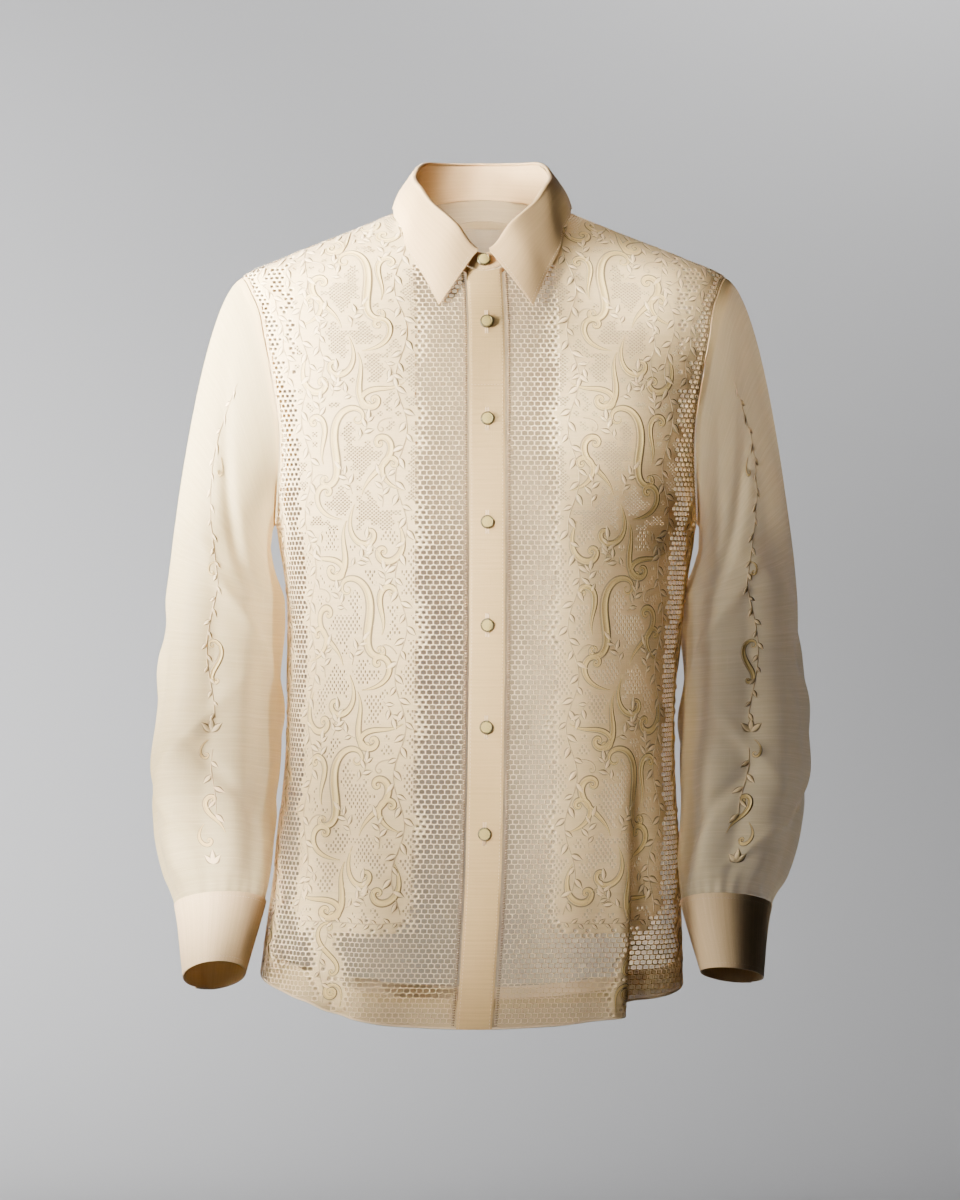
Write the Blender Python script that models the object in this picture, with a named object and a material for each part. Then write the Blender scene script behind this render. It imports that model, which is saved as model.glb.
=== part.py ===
"""Barong tagalog shirt, filled out as it is when worn.

Metres, +Z up. The front faces -Y and the wearer's left is +X. The origin lies in the middle of the neck,
level with the points where the shoulder seams meet the collar.
"""

import math

import bmesh
import bpy
import numpy as np

# ---------------------------------------------------------------- driving sizes
SHEER = 0.0016  # wall of the sheer and netted panels
PLAIN = 0.0020  # wall of collar, cuffs and front band
SEAM = 0.0003  # gap between two pieces that are sewn together
SEAM_TURN = 0.07  # the same gap at the side and shoulder seams, in degrees round the body
CENTRE_TURN = 0.09  # the same gap at centre front, in degrees
SIDE_TURN = 90.0 - SEAM_TURN  # where a panel ends at its side seam

BAND_HALF = 0.0165  # half the width of the front band
BAND_JOIN = -0.169  # level of the join across the front band
FRONT_NECK = -0.060  # level of the neck seam at centre front
SIDE_NECK = 0.006  # level of the neck seam at the side, where the shoulder seam starts
BACK_NECK_LIFT = 0.014  # how much higher the neck seam is at centre back

SHOULDER = -0.060  # level of the shoulder point
UNDERARM = -0.295  # level of the bottom of the armhole
CHEST = UNDERARM - 0.012  # where the rows from the underarm meet centre front
ARMHOLE_DEEP = 0.057  # the armhole's reach forward and back
ARMHOLE_EGG = 0.18  # how much wider it is below its middle than above

CUFF_LAP = 24.0  # lap of the cuff, in degrees
CUFF_LAP_START = 285.0
CUFF_LIFT = 43.0  # degrees over which the upper end lifts off the lower one
STAND_LAP_LEFT = 190.0  # ends of the neck band, in degrees from centre back
STAND_LAP_RIGHT = 187.0
STAND_TUCK = 155.0  # where the right end starts to pass behind the left one

BUTTON_WIDE = 0.0125
BUTTON_THICK = 0.0034
CUFF_BUTTON_WIDE = 0.0105
SHARP_EDGE = 40.0  # degrees at which an edge shows as sharp
STAND_BUTTON_HEIGHT = -0.0495
BAND_BUTTON_LEVELS = (-0.109, -0.199, -0.294, -0.389, -0.483, -0.5815)

# How finely each edge is divided. Edges that are sewn together share their points.
SIDE_STEPS = 12  # side seam
BACK_ARMHOLE_STEPS, YOKE_ARMHOLE_STEPS = 9, 3
ARMHOLE_STEPS = BACK_ARMHOLE_STEPS + YOKE_ARMHOLE_STEPS  # front armhole, and yoke and back together
NECK_STEPS, SHOULDER_STEPS, BACK_NECK_STEPS = 7, 9, 10
CHEST_STEPS, BAND_TOP_STEPS = 6, 6  # centre front, above the underarm's level
SLEEVE_ROWS, CAP_ROWS = 19, 9
YOKE_AT_ARMHOLE = 180.0 + 180.0 * BACK_ARMHOLE_STEPS / ARMHOLE_STEPS  # degrees round the armhole
CUFF_COLUMNS, CUFF_ROWS = 34, 3
COLLAR_ROWS, STAND_ROWS = 5, 3
BUTTON_SIDES = 12


# ---------------------------------------------------------------- tables and curves
class Table:
    """Rows of numbers under named columns, read as smooth curves over the first column."""

    def __init__(self, names, *rows):
        self.names = names.split()
        self.rows = np.array(sorted(rows), float)

    def __call__(self, name, at):
        return smooth_curve(self.rows[:, 0], self.rows[:, self.names.index(name)], np.asarray(at, float))


def smooth_curve(xs, ys, at):
    """A smooth curve through the points (xs, ys) that never swings past them."""
    step = np.diff(xs)
    rise = np.diff(ys) / step
    slope = np.zeros_like(ys)
    slope[0], slope[-1] = rise[0], rise[-1]
    for k in range(1, len(xs) - 1):
        if rise[k - 1] * rise[k] > 0:
            before, after = 2 * step[k] + step[k - 1], step[k] + 2 * step[k - 1]
            slope[k] = (before + after) / (before / rise[k - 1] + after / rise[k])
    at = np.clip(at, xs[0], xs[-1])
    k = np.clip(np.searchsorted(xs, at) - 1, 0, len(step) - 1)
    t = (at - xs[k]) / step[k]
    return (
        (1 + 2 * t) * (1 - t) ** 2 * ys[k]
        + t * (1 - t) ** 2 * step[k] * slope[k]
        + t * t * (3 - 2 * t) * ys[k + 1]
        + t * t * (t - 1) * step[k] * slope[k + 1]
    )


def ease(t):
    """0 below 0, 1 above 1, and a soft S between."""
    t = np.clip(t, 0.0, 1.0)
    return t * t * (3 - 2 * t)


def unit(v):
    return v / np.maximum(np.linalg.norm(v, axis=-1, keepdims=True), 1e-12)


# Half widths and depths of the body at each level. The powers say how square a section is: 2 is an ellipse.
BODY = Table(
    "level centre right left front back front_power back_power",
    (0.006, -0.0045, 0.073, 0.073, 0.0590, 0.072, 1.75, 2.50),
    (-0.012, -0.0042, 0.117, 0.117, 0.0600, 0.081, 1.60, 2.10),
    (-0.040, -0.0036, 0.188, 0.188, 0.0762, 0.092, 1.60, 1.85),
    (-0.060, -0.0030, 0.2300, 0.2300, 0.0835, 0.098, 1.62, 1.80),
    (-0.080, -0.0018, 0.2370, 0.2370, 0.0920, 0.102, 1.70, 1.85),
    (-0.110, -0.0005, 0.2370, 0.2370, 0.1040, 0.107, 1.82, 1.95),
    (-0.150, 0.000, 0.2320, 0.2320, 0.1140, 0.112, 1.95, 2.10),
    (-0.200, 0.000, 0.2190, 0.2190, 0.1220, 0.115, 2.10, 2.20),
    (-0.247, 0.000, 0.2090, 0.2090, 0.1265, 0.116, 2.20, 2.30),
    (-0.295, 0.000, 0.2000, 0.1985, 0.1290, 0.114, 2.30, 2.35),
    (-0.380, 0.000, 0.1895, 0.1865, 0.1280, 0.109, 2.35, 2.40),
    (-0.480, -0.001, 0.1890, 0.1785, 0.1245, 0.105, 2.35, 2.40),
    (-0.600, -0.003, 0.1965, 0.1850, 0.1205, 0.106, 2.35, 2.40),
    (-0.700, -0.008, 0.2040, 0.1930, 0.1185, 0.110, 2.35, 2.35),
    (-0.770, -0.013, 0.2080, 0.1985, 0.1180, 0.112, 2.35, 2.35),
)

# The hem's level by the turn away from centre front or centre back.
HEM = Table(
    "turn right left back_right back_left",
    (-33.0, -0.7600, -0.7600, -0.7610, -0.7610),
    (0.0, -0.7620, -0.7620, -0.7640, -0.7640),
    (33.0, -0.7600, -0.7600, -0.7610, -0.7610),
    (49.0, -0.7535, -0.7545, -0.7540, -0.7550),
    (56.0, -0.7480, -0.7515, -0.7495, -0.7520),
    (60.0, -0.7385, -0.7405, -0.7465, -0.7495),
    (68.0, -0.7320, -0.7370, -0.7385, -0.7440),
    (80.0, -0.7210, -0.7300, -0.7245, -0.7330),
    (90.0, -0.7130, -0.7240, -0.7130, -0.7240),
)

# Levels of the neck seam, by degrees from the side to centre front, and of the yoke seam, by the share
# of the way from centre back to the armhole.
NECKLINE = Table(
    "angle level", (0, SIDE_NECK), (35, -0.012), (63, -0.040), (90, FRONT_NECK), (117, -0.040)
)
YOKE_SEAM = Table(
    "share level", (-0.2, -0.020), (0, -0.018), (0.2, -0.020), (0.45, -0.030), (0.7, -0.052), (1, -0.0944)
)

# Folds of the body. crest stands proud; step is a crest beside a trough, with a steep drop between them.
# A fold starts at the level top and is at its full depth at the level full.
FOLD_NAMES = "angle width crest step top full"
BODY_FOLDS = (
    (33.2, 4.2, 0.000, 0.0105, -0.440, -0.720),
    (147.6, 4.2, 0.000, 0.0080, -0.430, -0.730),
    (15.0, 6.0, 0.004, 0.000, -0.500, -0.740),
    (60.0, 9.0, -0.003, 0.000, -0.300, -0.700),
    (118.0, 9.0, -0.003, 0.000, -0.330, -0.700),
    (166.0, 6.5, 0.004, 0.000, -0.480, -0.740),
    (203.0, 5.5, 0.000, -0.0060, -0.420, -0.740),
    (228.0, 8.0, -0.004, 0.000, -0.360, -0.720),
    (253.0, 7.0, 0.004, 0.000, -0.300, -0.700),
    (289.0, 7.5, -0.004, 0.000, -0.330, -0.720),
    (312.0, 7.0, 0.004, 0.000, -0.400, -0.740),
    (337.0, 5.0, 0.000, 0.0060, -0.440, -0.730),
)

# Sections of the arm, from the armpit to the end of the cuff, for the mean of both arms.
# lean is how much further out the right arm hangs, and how much further in the left one does.
ARM = Table(
    "height out forward half_out half_forward tilt roll lean",
    (-0.3600, 0.2475, 0.000, 0.0525, 0.0720, 0.0, -11.0, 0.0045),
    (-0.4400, 0.2490, 0.000, 0.0590, 0.0700, 3.0, -3.0, 0.0045),
    (-0.5200, 0.2500, 0.013, 0.0620, 0.0665, 8.0, 0.0, 0.0065),
    (-0.5800, 0.2475, 0.031, 0.0585, 0.0600, 14.0, 1.0, 0.0095),
    (-0.6200, 0.2425, 0.044, 0.0520, 0.0540, 17.0, 2.0, 0.0115),
    (-0.6500, 0.2370, 0.055, 0.0433, 0.0450, 19.0, 3.0, 0.0130),
    (-0.7145, 0.2410, 0.079, 0.0296, 0.0390, 24.0, 6.0, 0.0130),
)
ARMPIT_RING, CUFF_TOP, CUFF_END = -0.3600, -0.6500, -0.7145
CAP_SHARE = 0.45  # share of the sleeve's rows above the armpit ring
CAP_FULLNESS = 0.36  # how far the sleeve head runs outwards before it turns down
CAP_SLOPE = 25.0  # degrees below level at which it leaves the armhole

# Soft creases of the sleeve: where round the arm and along it, how they slope, and how deep they are.
CREASE_NAMES = "round along slope width length depth"
SLEEVE_CREASES = (
    (60.0, 0.62, 0.0010, 0.050, 70.0, -0.0040),
    (115.0, 0.70, -0.0012, 0.045, 60.0, -0.0035),
    (40.0, 0.80, 0.0012, 0.045, 55.0, 0.0035),
    (150.0, 0.86, -0.0010, 0.040, 60.0, -0.0035),
    (235.0, 0.66, 0.0012, 0.050, 70.0, -0.0040),
    (300.0, 0.76, -0.0012, 0.045, 60.0, -0.0035),
    (270.0, 0.86, 0.0008, 0.040, 60.0, 0.0035),
)
GATHERS, GATHER_DEPTH, GATHER_REACH = 7, 0.0016, 0.10

# The collar, by degrees round the neck from centre back: the height of its fold, the share by which the
# neck is narrower there than at the seam, and where the collar's edge lies on the body.
COLLAR = Table(
    "round fold lean edge_round edge_level",
    (0.0, 0.0545, 0.120, 0.0, -0.0005),
    (50.0, 0.0535, 0.140, 50.0, 0.0010),
    (75.0, 0.0475, 0.155, 76.0, 0.0025),
    (95.0, 0.0360, 0.155, 98.0, 0.0005),
    (119.0, 0.0245, 0.140, 120.6, -0.0180),
    (136.0, 0.0075, 0.110, 133.0, -0.0400),
    (160.0, -0.0142, 0.075, 147.5, -0.0720),
    (176.0, -0.0385, 0.050, 155.6, -0.0945),
    (190.0, -0.0425, 0.050, 155.6, -0.0945),
)
COLLAR_END = 176.0
NECK_RADIUS = 0.073
COLLAR_CLEAR = 0.0042  # how far the outside of the collar's edge stands off the body
COLLAR_BOW = 0.0030
FOLD_ROUND = ((-0.0020, -0.0002), (-0.0006, 0.0008), (0.0018, 0.0005), (0.0036, -0.0016))  # out, up
FOLD_DROP = 0.0027  # how far the neck band's top lies below the fold


# ---------------------------------------------------------------- the body's surface
def body_push(angle, level):
    """How far the folds move the body's surface out."""
    push = np.zeros(np.broadcast(angle, level).shape)
    for row in BODY_FOLDS:
        fold = dict(zip(FOLD_NAMES.split(), row))
        away = (angle - fold["angle"]) / fold["width"]
        depth = ease((fold["top"] - level) / (fold["top"] - fold["full"]))
        crest = fold["crest"] * np.exp(-(away**2) / 2)
        step = fold["step"] * away * np.exp((1 - away**2) / 2)
        push = push + depth * (crest + step)
    return push


def body_point(angle, level):
    """A point on the body. angle: 0 wearer's left side, 90 centre front, 180 right side, 270 centre back."""
    angle, level = np.broadcast_arrays(np.asarray(angle, float) % 360.0, np.asarray(level, float))
    across, deep = np.cos(np.radians(angle)), np.sin(np.radians(angle))
    wide = np.where(across >= 0, BODY("left", level), BODY("right", level))
    front = deep >= 0
    depth = np.where(front, BODY("front", level), BODY("back", level))
    power = np.where(front, BODY("front_power", level), BODY("back_power", level))
    reach = (np.abs(across) / wide) ** power + (np.abs(deep) / depth) ** power
    radius = reach ** (-1 / power) + body_push(angle, level)
    lift = BACK_NECK_LIFT * np.where(front, 0.0, deep**2) * ease((level + 0.09) / (SIDE_NECK + 0.09))
    return np.stack([BODY("centre", level) + radius * across, -radius * deep, level + lift], axis=-1)


def body_normal(angle, level):
    """The body's outward direction, from two short steps on its surface. A side or shoulder seam leans
    neither forward nor back, so that the two pieces on it stay parallel."""
    round_step = body_point(angle + 0.2, level) - body_point(angle - 0.2, level)
    on_seam = np.abs(np.sin(np.radians(angle))) < math.sin(math.radians(2 * SEAM_TURN))
    square = np.stack([np.zeros_like(angle), -np.sign(np.cos(np.radians(angle))), np.zeros_like(angle)], axis=-1)
    round_step = np.where(on_seam[..., None], square, round_step)
    up_step = body_point(angle, level) - body_point(angle, np.asarray(level) - 0.001)
    return unit(np.cross(up_step, round_step))


def side_half(turn, level):
    return np.where(np.asarray(turn) >= 0, BODY("left", level), BODY("right", level))


def flat_to_turn(flat):
    """Turns flat pattern points (across, level) into (turn from the centre line, level)."""
    across, level = flat[..., 0], flat[..., 1]
    return np.stack([90.0 * across / side_half(across, level), level], axis=-1)


def turn_to_flat(turns):
    turn, level = turns[..., 0], turns[..., 1]
    return np.stack([turn / 90.0 * side_half(turn, level), level], axis=-1)


def front_angle(turn):
    return 90.0 - turn


def back_angle(turn):
    return 270.0 + turn


def armhole_turn(round_arm, front=True):
    """The armhole at an angle round it, 0 at the shoulder and 180 at the underarm, as (turn, level)."""
    c, s = math.cos(math.radians(round_arm)), math.sin(math.radians(round_arm))
    middle, half = (SHOULDER + UNDERARM) / 2, (SHOULDER - UNDERARM) / 2
    level = middle + half * c
    deep = ARMHOLE_DEEP * abs(s) * (1 - ARMHOLE_EGG * c)
    face = "front" if front else "back"
    power = float(BODY(face + "_power", level))
    out = float(BODY("left", level)) * (1 - (deep / float(BODY(face, level))) ** power) ** (1 / power)
    return 90.0 - math.degrees(math.atan2(deep, out)), level


def armhole_line(start, end, steps, front):
    """The armhole from one angle round it to another, stopping short of the side and shoulder seams."""
    line = [armhole_turn(a, front) for a in np.linspace(start, end, steps + 1)]
    return np.array([(min(turn, SIDE_TURN), level) for turn, level in line])


def even_line(turns, angle_of, count):
    """Resamples a line of (turn, level) into count + 1 points an even distance apart on the body."""
    turns = np.asarray(turns, float)
    points = body_point(angle_of(turns[:, 0]), turns[:, 1])
    run = np.concatenate([[0.0], np.cumsum(np.linalg.norm(np.diff(points, axis=0), axis=1))])
    at = np.linspace(0.0, run[-1], count + 1)
    return np.stack([np.interp(at, run, turns[:, 0]), np.interp(at, run, turns[:, 1])], axis=-1)


def filled_patch(left, right, bottom, top):
    """A grid of (turn, level) between four edge lines, blended on the flat pattern. Rows run bottom to top."""
    left, right, bottom, top = (turn_to_flat(np.asarray(e, float)) for e in (left, right, bottom, top))
    u = np.linspace(0, 1, len(bottom))
    if len(bottom) > 2:
        run = np.concatenate([[0.0], np.cumsum(np.linalg.norm(np.diff(bottom, axis=0), axis=1))])
        u = run / run[-1]
    u = u[None, :, None]
    v = np.linspace(0, 1, len(left))[:, None, None]
    across = (1 - u) * left[:, None] + u * right[:, None]
    along = (1 - v) * bottom[None] + v * top[None]
    corners = (1 - v) * ((1 - u) * bottom[0] + u * bottom[-1]) + v * ((1 - u) * top[0] + u * top[-1])
    return flat_to_turn(across + along - corners)


# ---------------------------------------------------------------- solids
def make_material(name, colour, roughness, metallic=0.0):
    material = bpy.data.materials.new(name)
    material.use_nodes = True
    shader = material.node_tree.nodes["Principled BSDF"]
    shader.inputs["Base Color"].default_value = (*colour, 1.0)
    shader.inputs["Roughness"].default_value = roughness
    shader.inputs["Metallic"].default_value = metallic
    return material


def add_object(name, points, faces, material):
    """Adds a closed mesh, with its faces turned outwards."""
    mesh = bpy.data.meshes.new(name)
    mesh.from_pydata([tuple(p) for p in points], [], faces)
    shape = bmesh.new()
    shape.from_mesh(mesh)
    inside_out = shape.calc_volume(signed=True) < 0
    shape.free()
    if inside_out:
        mesh.flip_normals()
    mesh.shade_smooth()
    mesh.set_sharp_from_angle(angle=math.radians(SHARP_EDGE))
    mesh.materials.append(material)
    piece = bpy.data.objects.new(name, mesh)
    bpy.context.collection.objects.link(piece)
    return piece


def wall(name, outside, inside, material, loop=False):
    """One solid between two grids of points. loop joins the last column to the first, as on a tube."""
    rows, columns = outside.shape[:2]
    points = np.concatenate([outside.reshape(-1, 3), inside.reshape(-1, 3)])
    below = rows * columns

    def at(row, column):
        return row * columns + column % columns

    faces = []
    for row in range(rows - 1):
        for column in range(columns if loop else columns - 1):
            face = (at(row, column), at(row, column + 1), at(row + 1, column + 1), at(row + 1, column))
            faces.append(face)
            faces.append(tuple(below + k for k in reversed(face)))
    edge = [(at(0, c), at(0, c + 1)) for c in range(columns if loop else columns - 1)]
    edge += [(at(rows - 1, c + 1), at(rows - 1, c)) for c in range(columns if loop else columns - 1)]
    if not loop:
        edge += [(at(r + 1, 0), at(r, 0)) for r in range(rows - 1)]
        edge += [(at(r, columns - 1), at(r + 1, columns - 1)) for r in range(rows - 1)]
    faces += [(b, a, below + a, below + b) for a, b in edge]
    return add_object(name, points, faces, material)


def grid_normals(grid, loop=False):
    """Outward directions of a grid whose rows run down and whose columns run from left to right."""
    if loop:
        wide = np.concatenate([grid[:, -1:], grid, grid[:, :1]], axis=1)
        round_step = np.gradient(wide, axis=1)[:, 1:-1]
    else:
        round_step = np.gradient(grid, axis=1)
    return unit(np.cross(round_step, np.gradient(grid, axis=0)))


def body_wall(name, turns, angle_of, material):
    angle, level = angle_of(turns[..., 0]), turns[..., 1]
    outside = body_point(angle, level)
    return wall(name, outside, outside - SHEER * body_normal(angle, level), material)


# ---------------------------------------------------------------- body panels
def side_seam(side):
    """The side seam from hem to underarm, as (turn, level)."""
    low = float(HEM("left" if side > 0 else "right", SIDE_TURN))
    return np.array([(SIDE_TURN, z) for z in np.linspace(low, UNDERARM, SIDE_STEPS + 1)])


def hem_line(side, angle_of, start, steps):
    """The hem from a turn near the centre line out to the side seam."""
    turns = np.linspace(start, SIDE_TURN, 91)
    column = ("back_" if angle_of is back_angle else "") + ("left" if side > 0 else "right")
    return even_line(np.stack([turns, HEM(column, turns)], axis=-1), angle_of, steps)


def shoulder_seam(angle_of):
    """The shoulder seam from the neck out to the shoulder point."""
    line = np.array([(SIDE_TURN, z) for z in np.linspace(SIDE_NECK, SHOULDER, 40)])
    return even_line(line, angle_of, SHOULDER_STEPS)


def front_neck():
    """The neck seam of a front, from centre front to the side, as (turn, level)."""
    angles = np.linspace(90.0 - CENTRE_TURN, SEAM_TURN, 46)
    neck = np.stack([90.0 - angles, NECKLINE("level", angles)], axis=-1)
    neck = even_line(neck, front_angle, NECK_STEPS)
    edge = math.degrees(math.atan(BAND_HALF / float(BODY("front", FRONT_NECK))))
    neck[1] = edge, NECKLINE("level", 90.0 - edge)
    return neck


def back_neck():
    """Half the neck seam of the yoke, from centre back to the side, as (turn, level)."""
    return np.array([(t, SIDE_NECK) for t in np.linspace(0.0, SIDE_TURN, BACK_NECK_STEPS // 2 + 1)])


def front_grid(side):
    """The flat grid of one front, as (turn, level). side is 1 for the wearer's left and -1 for the right."""
    bottom = hem_line(side, front_angle, CENTRE_TURN, NECK_STEPS + SHOULDER_STEPS)
    levels = np.concatenate(
        [
            np.linspace(bottom[0, 1], CHEST, SIDE_STEPS + 1),
            np.linspace(CHEST, BAND_JOIN, CHEST_STEPS + 1)[1:],
            np.linspace(BAND_JOIN, FRONT_NECK, BAND_TOP_STEPS + 1)[1:],
        ]
    )
    centre = np.stack([np.full(len(levels), CENTRE_TURN), levels], axis=-1)
    outer = np.concatenate([side_seam(side), armhole_line(180.0, 0.0, ARMHOLE_STEPS, True)[1:]])
    top = np.concatenate([front_neck(), shoulder_seam(front_angle)[1:]])
    grid = filled_patch(centre, outer, bottom, top)
    grid[..., 0] *= side
    return with_band_edge(grid, side)


def with_band_edge(grid, side):
    """Moves the second column to the edge of the front band, so that the band can take its points."""
    grid[:-1, 1, 1] = grid[:-1, 0, 1]
    grid[:-1, 1, 0] = side * np.degrees(np.arctan(BAND_HALF / BODY("front", grid[:-1, 1, 1])))
    return grid


def mirrored(line):
    return line * np.array([-1.0, 1.0])


def both_sides(line):
    """A line from the wearer's right to the left, from its left half, which starts at the centre."""
    return np.concatenate([mirrored(line)[:0:-1], line])


def yoke_seam():
    """The yoke's lower seam from centre back out to the armhole, as (turn, level)."""
    turn, _ = armhole_turn(YOKE_AT_ARMHOLE, front=False)
    shares = np.linspace(0.0, 1.0, 61)
    line = np.stack([shares * turn, YOKE_SEAM("level", shares)], axis=-1)
    return even_line(line, back_angle, SHOULDER_STEPS + BACK_NECK_STEPS // 2)


def build_body(net, sheer):
    grids = {side: front_grid(side) for side in (-1, 1)}
    body_wall("front_right", grids[-1], front_angle, net)
    body_wall("front_left", grids[1], front_angle, net)

    gap = np.array([0.0, SEAM / 2])
    across = SHOULDER_STEPS + BACK_NECK_STEPS // 2
    seam = both_sides(yoke_seam())
    hems = {side: hem_line(side, back_angle, 0.0, across) for side in (-1, 1)}
    bottom = np.concatenate([mirrored(hems[-1])[:0:-1], hems[1]])
    armhole = armhole_line(180.0, YOKE_AT_ARMHOLE, BACK_ARMHOLE_STEPS, False)
    armhole[-1] -= gap
    edges = {side: np.concatenate([side_seam(side), armhole[1:]]) for side in (-1, 1)}
    grid = filled_patch(mirrored(edges[-1]), edges[1], bottom, seam - gap)
    body_wall("back", grid, back_angle, sheer)

    armhole = armhole_line(YOKE_AT_ARMHOLE, 360.0, YOKE_ARMHOLE_STEPS, False)
    armhole[0] += gap
    top = both_sides(np.concatenate([back_neck(), shoulder_seam(back_angle)[1:]]))
    body_wall("yoke", filled_patch(mirrored(armhole), armhole, seam + gap, top), back_angle, sheer)
    return grids


# ---------------------------------------------------------------- front band
def build_band(grids, plain):
    """The band lies on the first columns of both fronts, moved out by the seam gap."""
    columns = [grids[-1][:, 1], (grids[-1][:, 0] + grids[1][:, 0]) / 2, grids[1][:, 1]]
    turns = np.stack(columns, axis=1)
    join = SIDE_STEPS + CHEST_STEPS
    lower, upper = turns[: join + 1].copy(), turns[join:].copy()
    lower[-1, :, 1] -= SEAM / 2
    upper[0, :, 1] += SEAM / 2
    upper[-1, :, 1] -= SEAM
    for name, part in (("placket", lower), ("placket_top", upper)):
        angle, level = front_angle(part[..., 0]), part[..., 1]
        on, out = body_point(angle, level), body_normal(angle, level)
        wall(name, on + (SEAM + PLAIN) * out, on + SEAM * out, plain)


# ---------------------------------------------------------------- sleeves and cuffs
def arm_ring(side, round_arm, height, grow=0.0):
    """A point of the arm's section at a height. round_arm: 0 outside, 90 front, 180 inside, 270 back."""
    out_x = side * (ARM("out", height) - side * ARM("lean", height))
    tilt, roll = np.radians(ARM("tilt", height)), np.radians(ARM("roll", height))
    c, s = np.cos(np.radians(round_arm)), np.sin(np.radians(round_arm))
    a, b = (ARM("half_out", height) + grow) * c, (ARM("half_forward", height) + grow) * s
    zero = np.zeros(np.broadcast(a, b).shape)
    x = out_x + side * a * np.cos(roll) + zero
    y = -ARM("forward", height) - b * np.cos(tilt) + zero
    z = height - a * np.sin(roll) + b * np.sin(tilt) + zero
    return np.stack([x, y, z], axis=-1)


def armhole_point(side, round_arm):
    turn, level = armhole_turn(round_arm, front=round_arm % 360.0 <= 180.0)
    turn = min(turn, 90.0)
    angle = 90.0 - turn if round_arm % 360.0 <= 180.0 else 270.0 + turn
    angle = angle if side > 0 else 180.0 - angle
    return body_point(angle, level)


def sleeve_lines(side, rounds):
    """Armhole points, armpit ring points and the two end directions of the sleeve head."""
    start = np.array([armhole_point(side, r) for r in rounds])
    slope = math.radians(CAP_SLOPE)
    leave = np.array([side * math.cos(slope), 0.0, -math.sin(slope)])
    start = start + 1.3 * SEAM * leave
    end = arm_ring(side, rounds, np.full(len(rounds), ARMPIT_RING))
    onward = unit(arm_ring(side, rounds, np.full(len(rounds), ARMPIT_RING - 0.01)) - end)
    reach = np.linalg.norm(end - start, axis=1)[:, None]
    return start, end, leave * reach * CAP_FULLNESS, onward * reach


def crease_push(rounds, along):
    """How far the soft creases and the gathers at the cuff move the sleeve's surface out."""
    push = np.zeros(np.broadcast(rounds, along).shape)
    for row in SLEEVE_CREASES:
        crease = dict(zip(CREASE_NAMES.split(), row))
        away = (rounds - crease["round"] + 180.0) % 360.0 - 180.0
        off = (along - crease["along"] - crease["slope"] * away) / crease["width"]
        push = push + crease["depth"] * np.exp(-(off**2) / 2 - (away / crease["length"]) ** 2)
    wave = 0.5 - 0.5 * np.cos(np.radians(GATHERS * rounds))
    near = np.clip((along - 1 + GATHER_REACH) / GATHER_REACH, 0.0, 1.0)
    return push * ease((1 - along) / 0.06) * ease(along / 0.3) - GATHER_DEPTH * wave * near * near


def sleeve_grid(side, columns, rows, cap_rows):
    rounds = np.arange(columns) * 360.0 / columns
    start, end, leave, arrive = sleeve_lines(side, rounds)
    lines = []
    for row in range(cap_rows):
        t = row / cap_rows
        lines.append(
            (1 + 2 * t) * (1 - t) ** 2 * start
            + t * (1 - t) ** 2 * leave
            + t * t * (3 - 2 * t) * end
            + t * t * (t - 1) * arrive
        )
    for height in np.linspace(ARMPIT_RING, CUFF_TOP, rows - cap_rows + 1):
        lines.append(arm_ring(side, rounds, np.full(columns, height)))
    grid = np.array(lines)
    along = np.concatenate(
        [np.arange(cap_rows) / cap_rows * CAP_SHARE, np.linspace(CAP_SHARE, 1.0, rows - cap_rows + 1)]
    )
    out = side * grid_normals(grid, loop=True)
    return grid + crease_push(rounds[None], along[:, None])[..., None] * out


def build_sleeve(name, side, sheer):
    grid = sleeve_grid(side, 2 * ARMHOLE_STEPS, SLEEVE_ROWS, CAP_ROWS)
    out = side * grid_normals(grid, loop=True)
    wall(name, grid, grid - SHEER * out, sheer, loop=True)


def cuff_grid(side, rounds, rows, grow=0.0):
    """A face of the cuff, which lifts off its own start before it laps over it."""
    before_lap = (rounds - CUFF_LAP_START - 360.0) / CUFF_LIFT
    lift = (PLAIN + 2 * SEAM) * ease(before_lap + 1.2)
    heights = np.linspace(CUFF_TOP, CUFF_END, rows + 1)
    grid = np.array([arm_ring(side, rounds, np.full(len(rounds), h), lift + grow) for h in heights])
    grid[..., 2] -= 1.4 * SEAM
    return grid


def build_cuff(name, side, plain, metal):
    rounds = np.linspace(CUFF_LAP_START, CUFF_LAP_START + 360.0 + CUFF_LAP, CUFF_COLUMNS + 1)
    wall("cuff_" + name, cuff_grid(side, rounds, CUFF_ROWS), cuff_grid(side, rounds, CUFF_ROWS, -PLAIN), plain)
    near = CUFF_LAP_START + 360.0 + CUFF_LAP / 2 + np.linspace(-2.0, 2.0, 3)
    grid = cuff_grid(side, near, 2)
    out = side * grid_normals(grid)[1, 1]
    build_button("cuff_button_" + name, grid[1, 1] + 1.6 * SEAM * out, out, CUFF_BUTTON_WIDE, metal)


# ---------------------------------------------------------------- collar
def neck_rounds():
    """Degrees from centre back of the neck seam's points, right to left, and of the points half way."""
    front = 180.0 - front_neck()[::-1, 0]
    half = np.concatenate([back_neck()[:-1, 0], [90.0], front[1:]])
    seam = np.concatenate([-half[:0:-1], half])
    return np.sort(np.concatenate([seam, (seam[1:] + seam[:-1]) / 2]))


def neck_seam(round_neck):
    """The neck seam at an angle from centre back, positive towards the wearer's left."""
    from_side = np.abs(np.asarray(round_neck, float)) - 90.0
    folded = np.where(from_side > 90.0, 180.0 - from_side, from_side)
    level = np.where(from_side <= 0, SIDE_NECK, NECKLINE("level", np.clip(folded, 0.0, 90.0)))
    return body_point(270.0 + round_neck, level)


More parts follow.
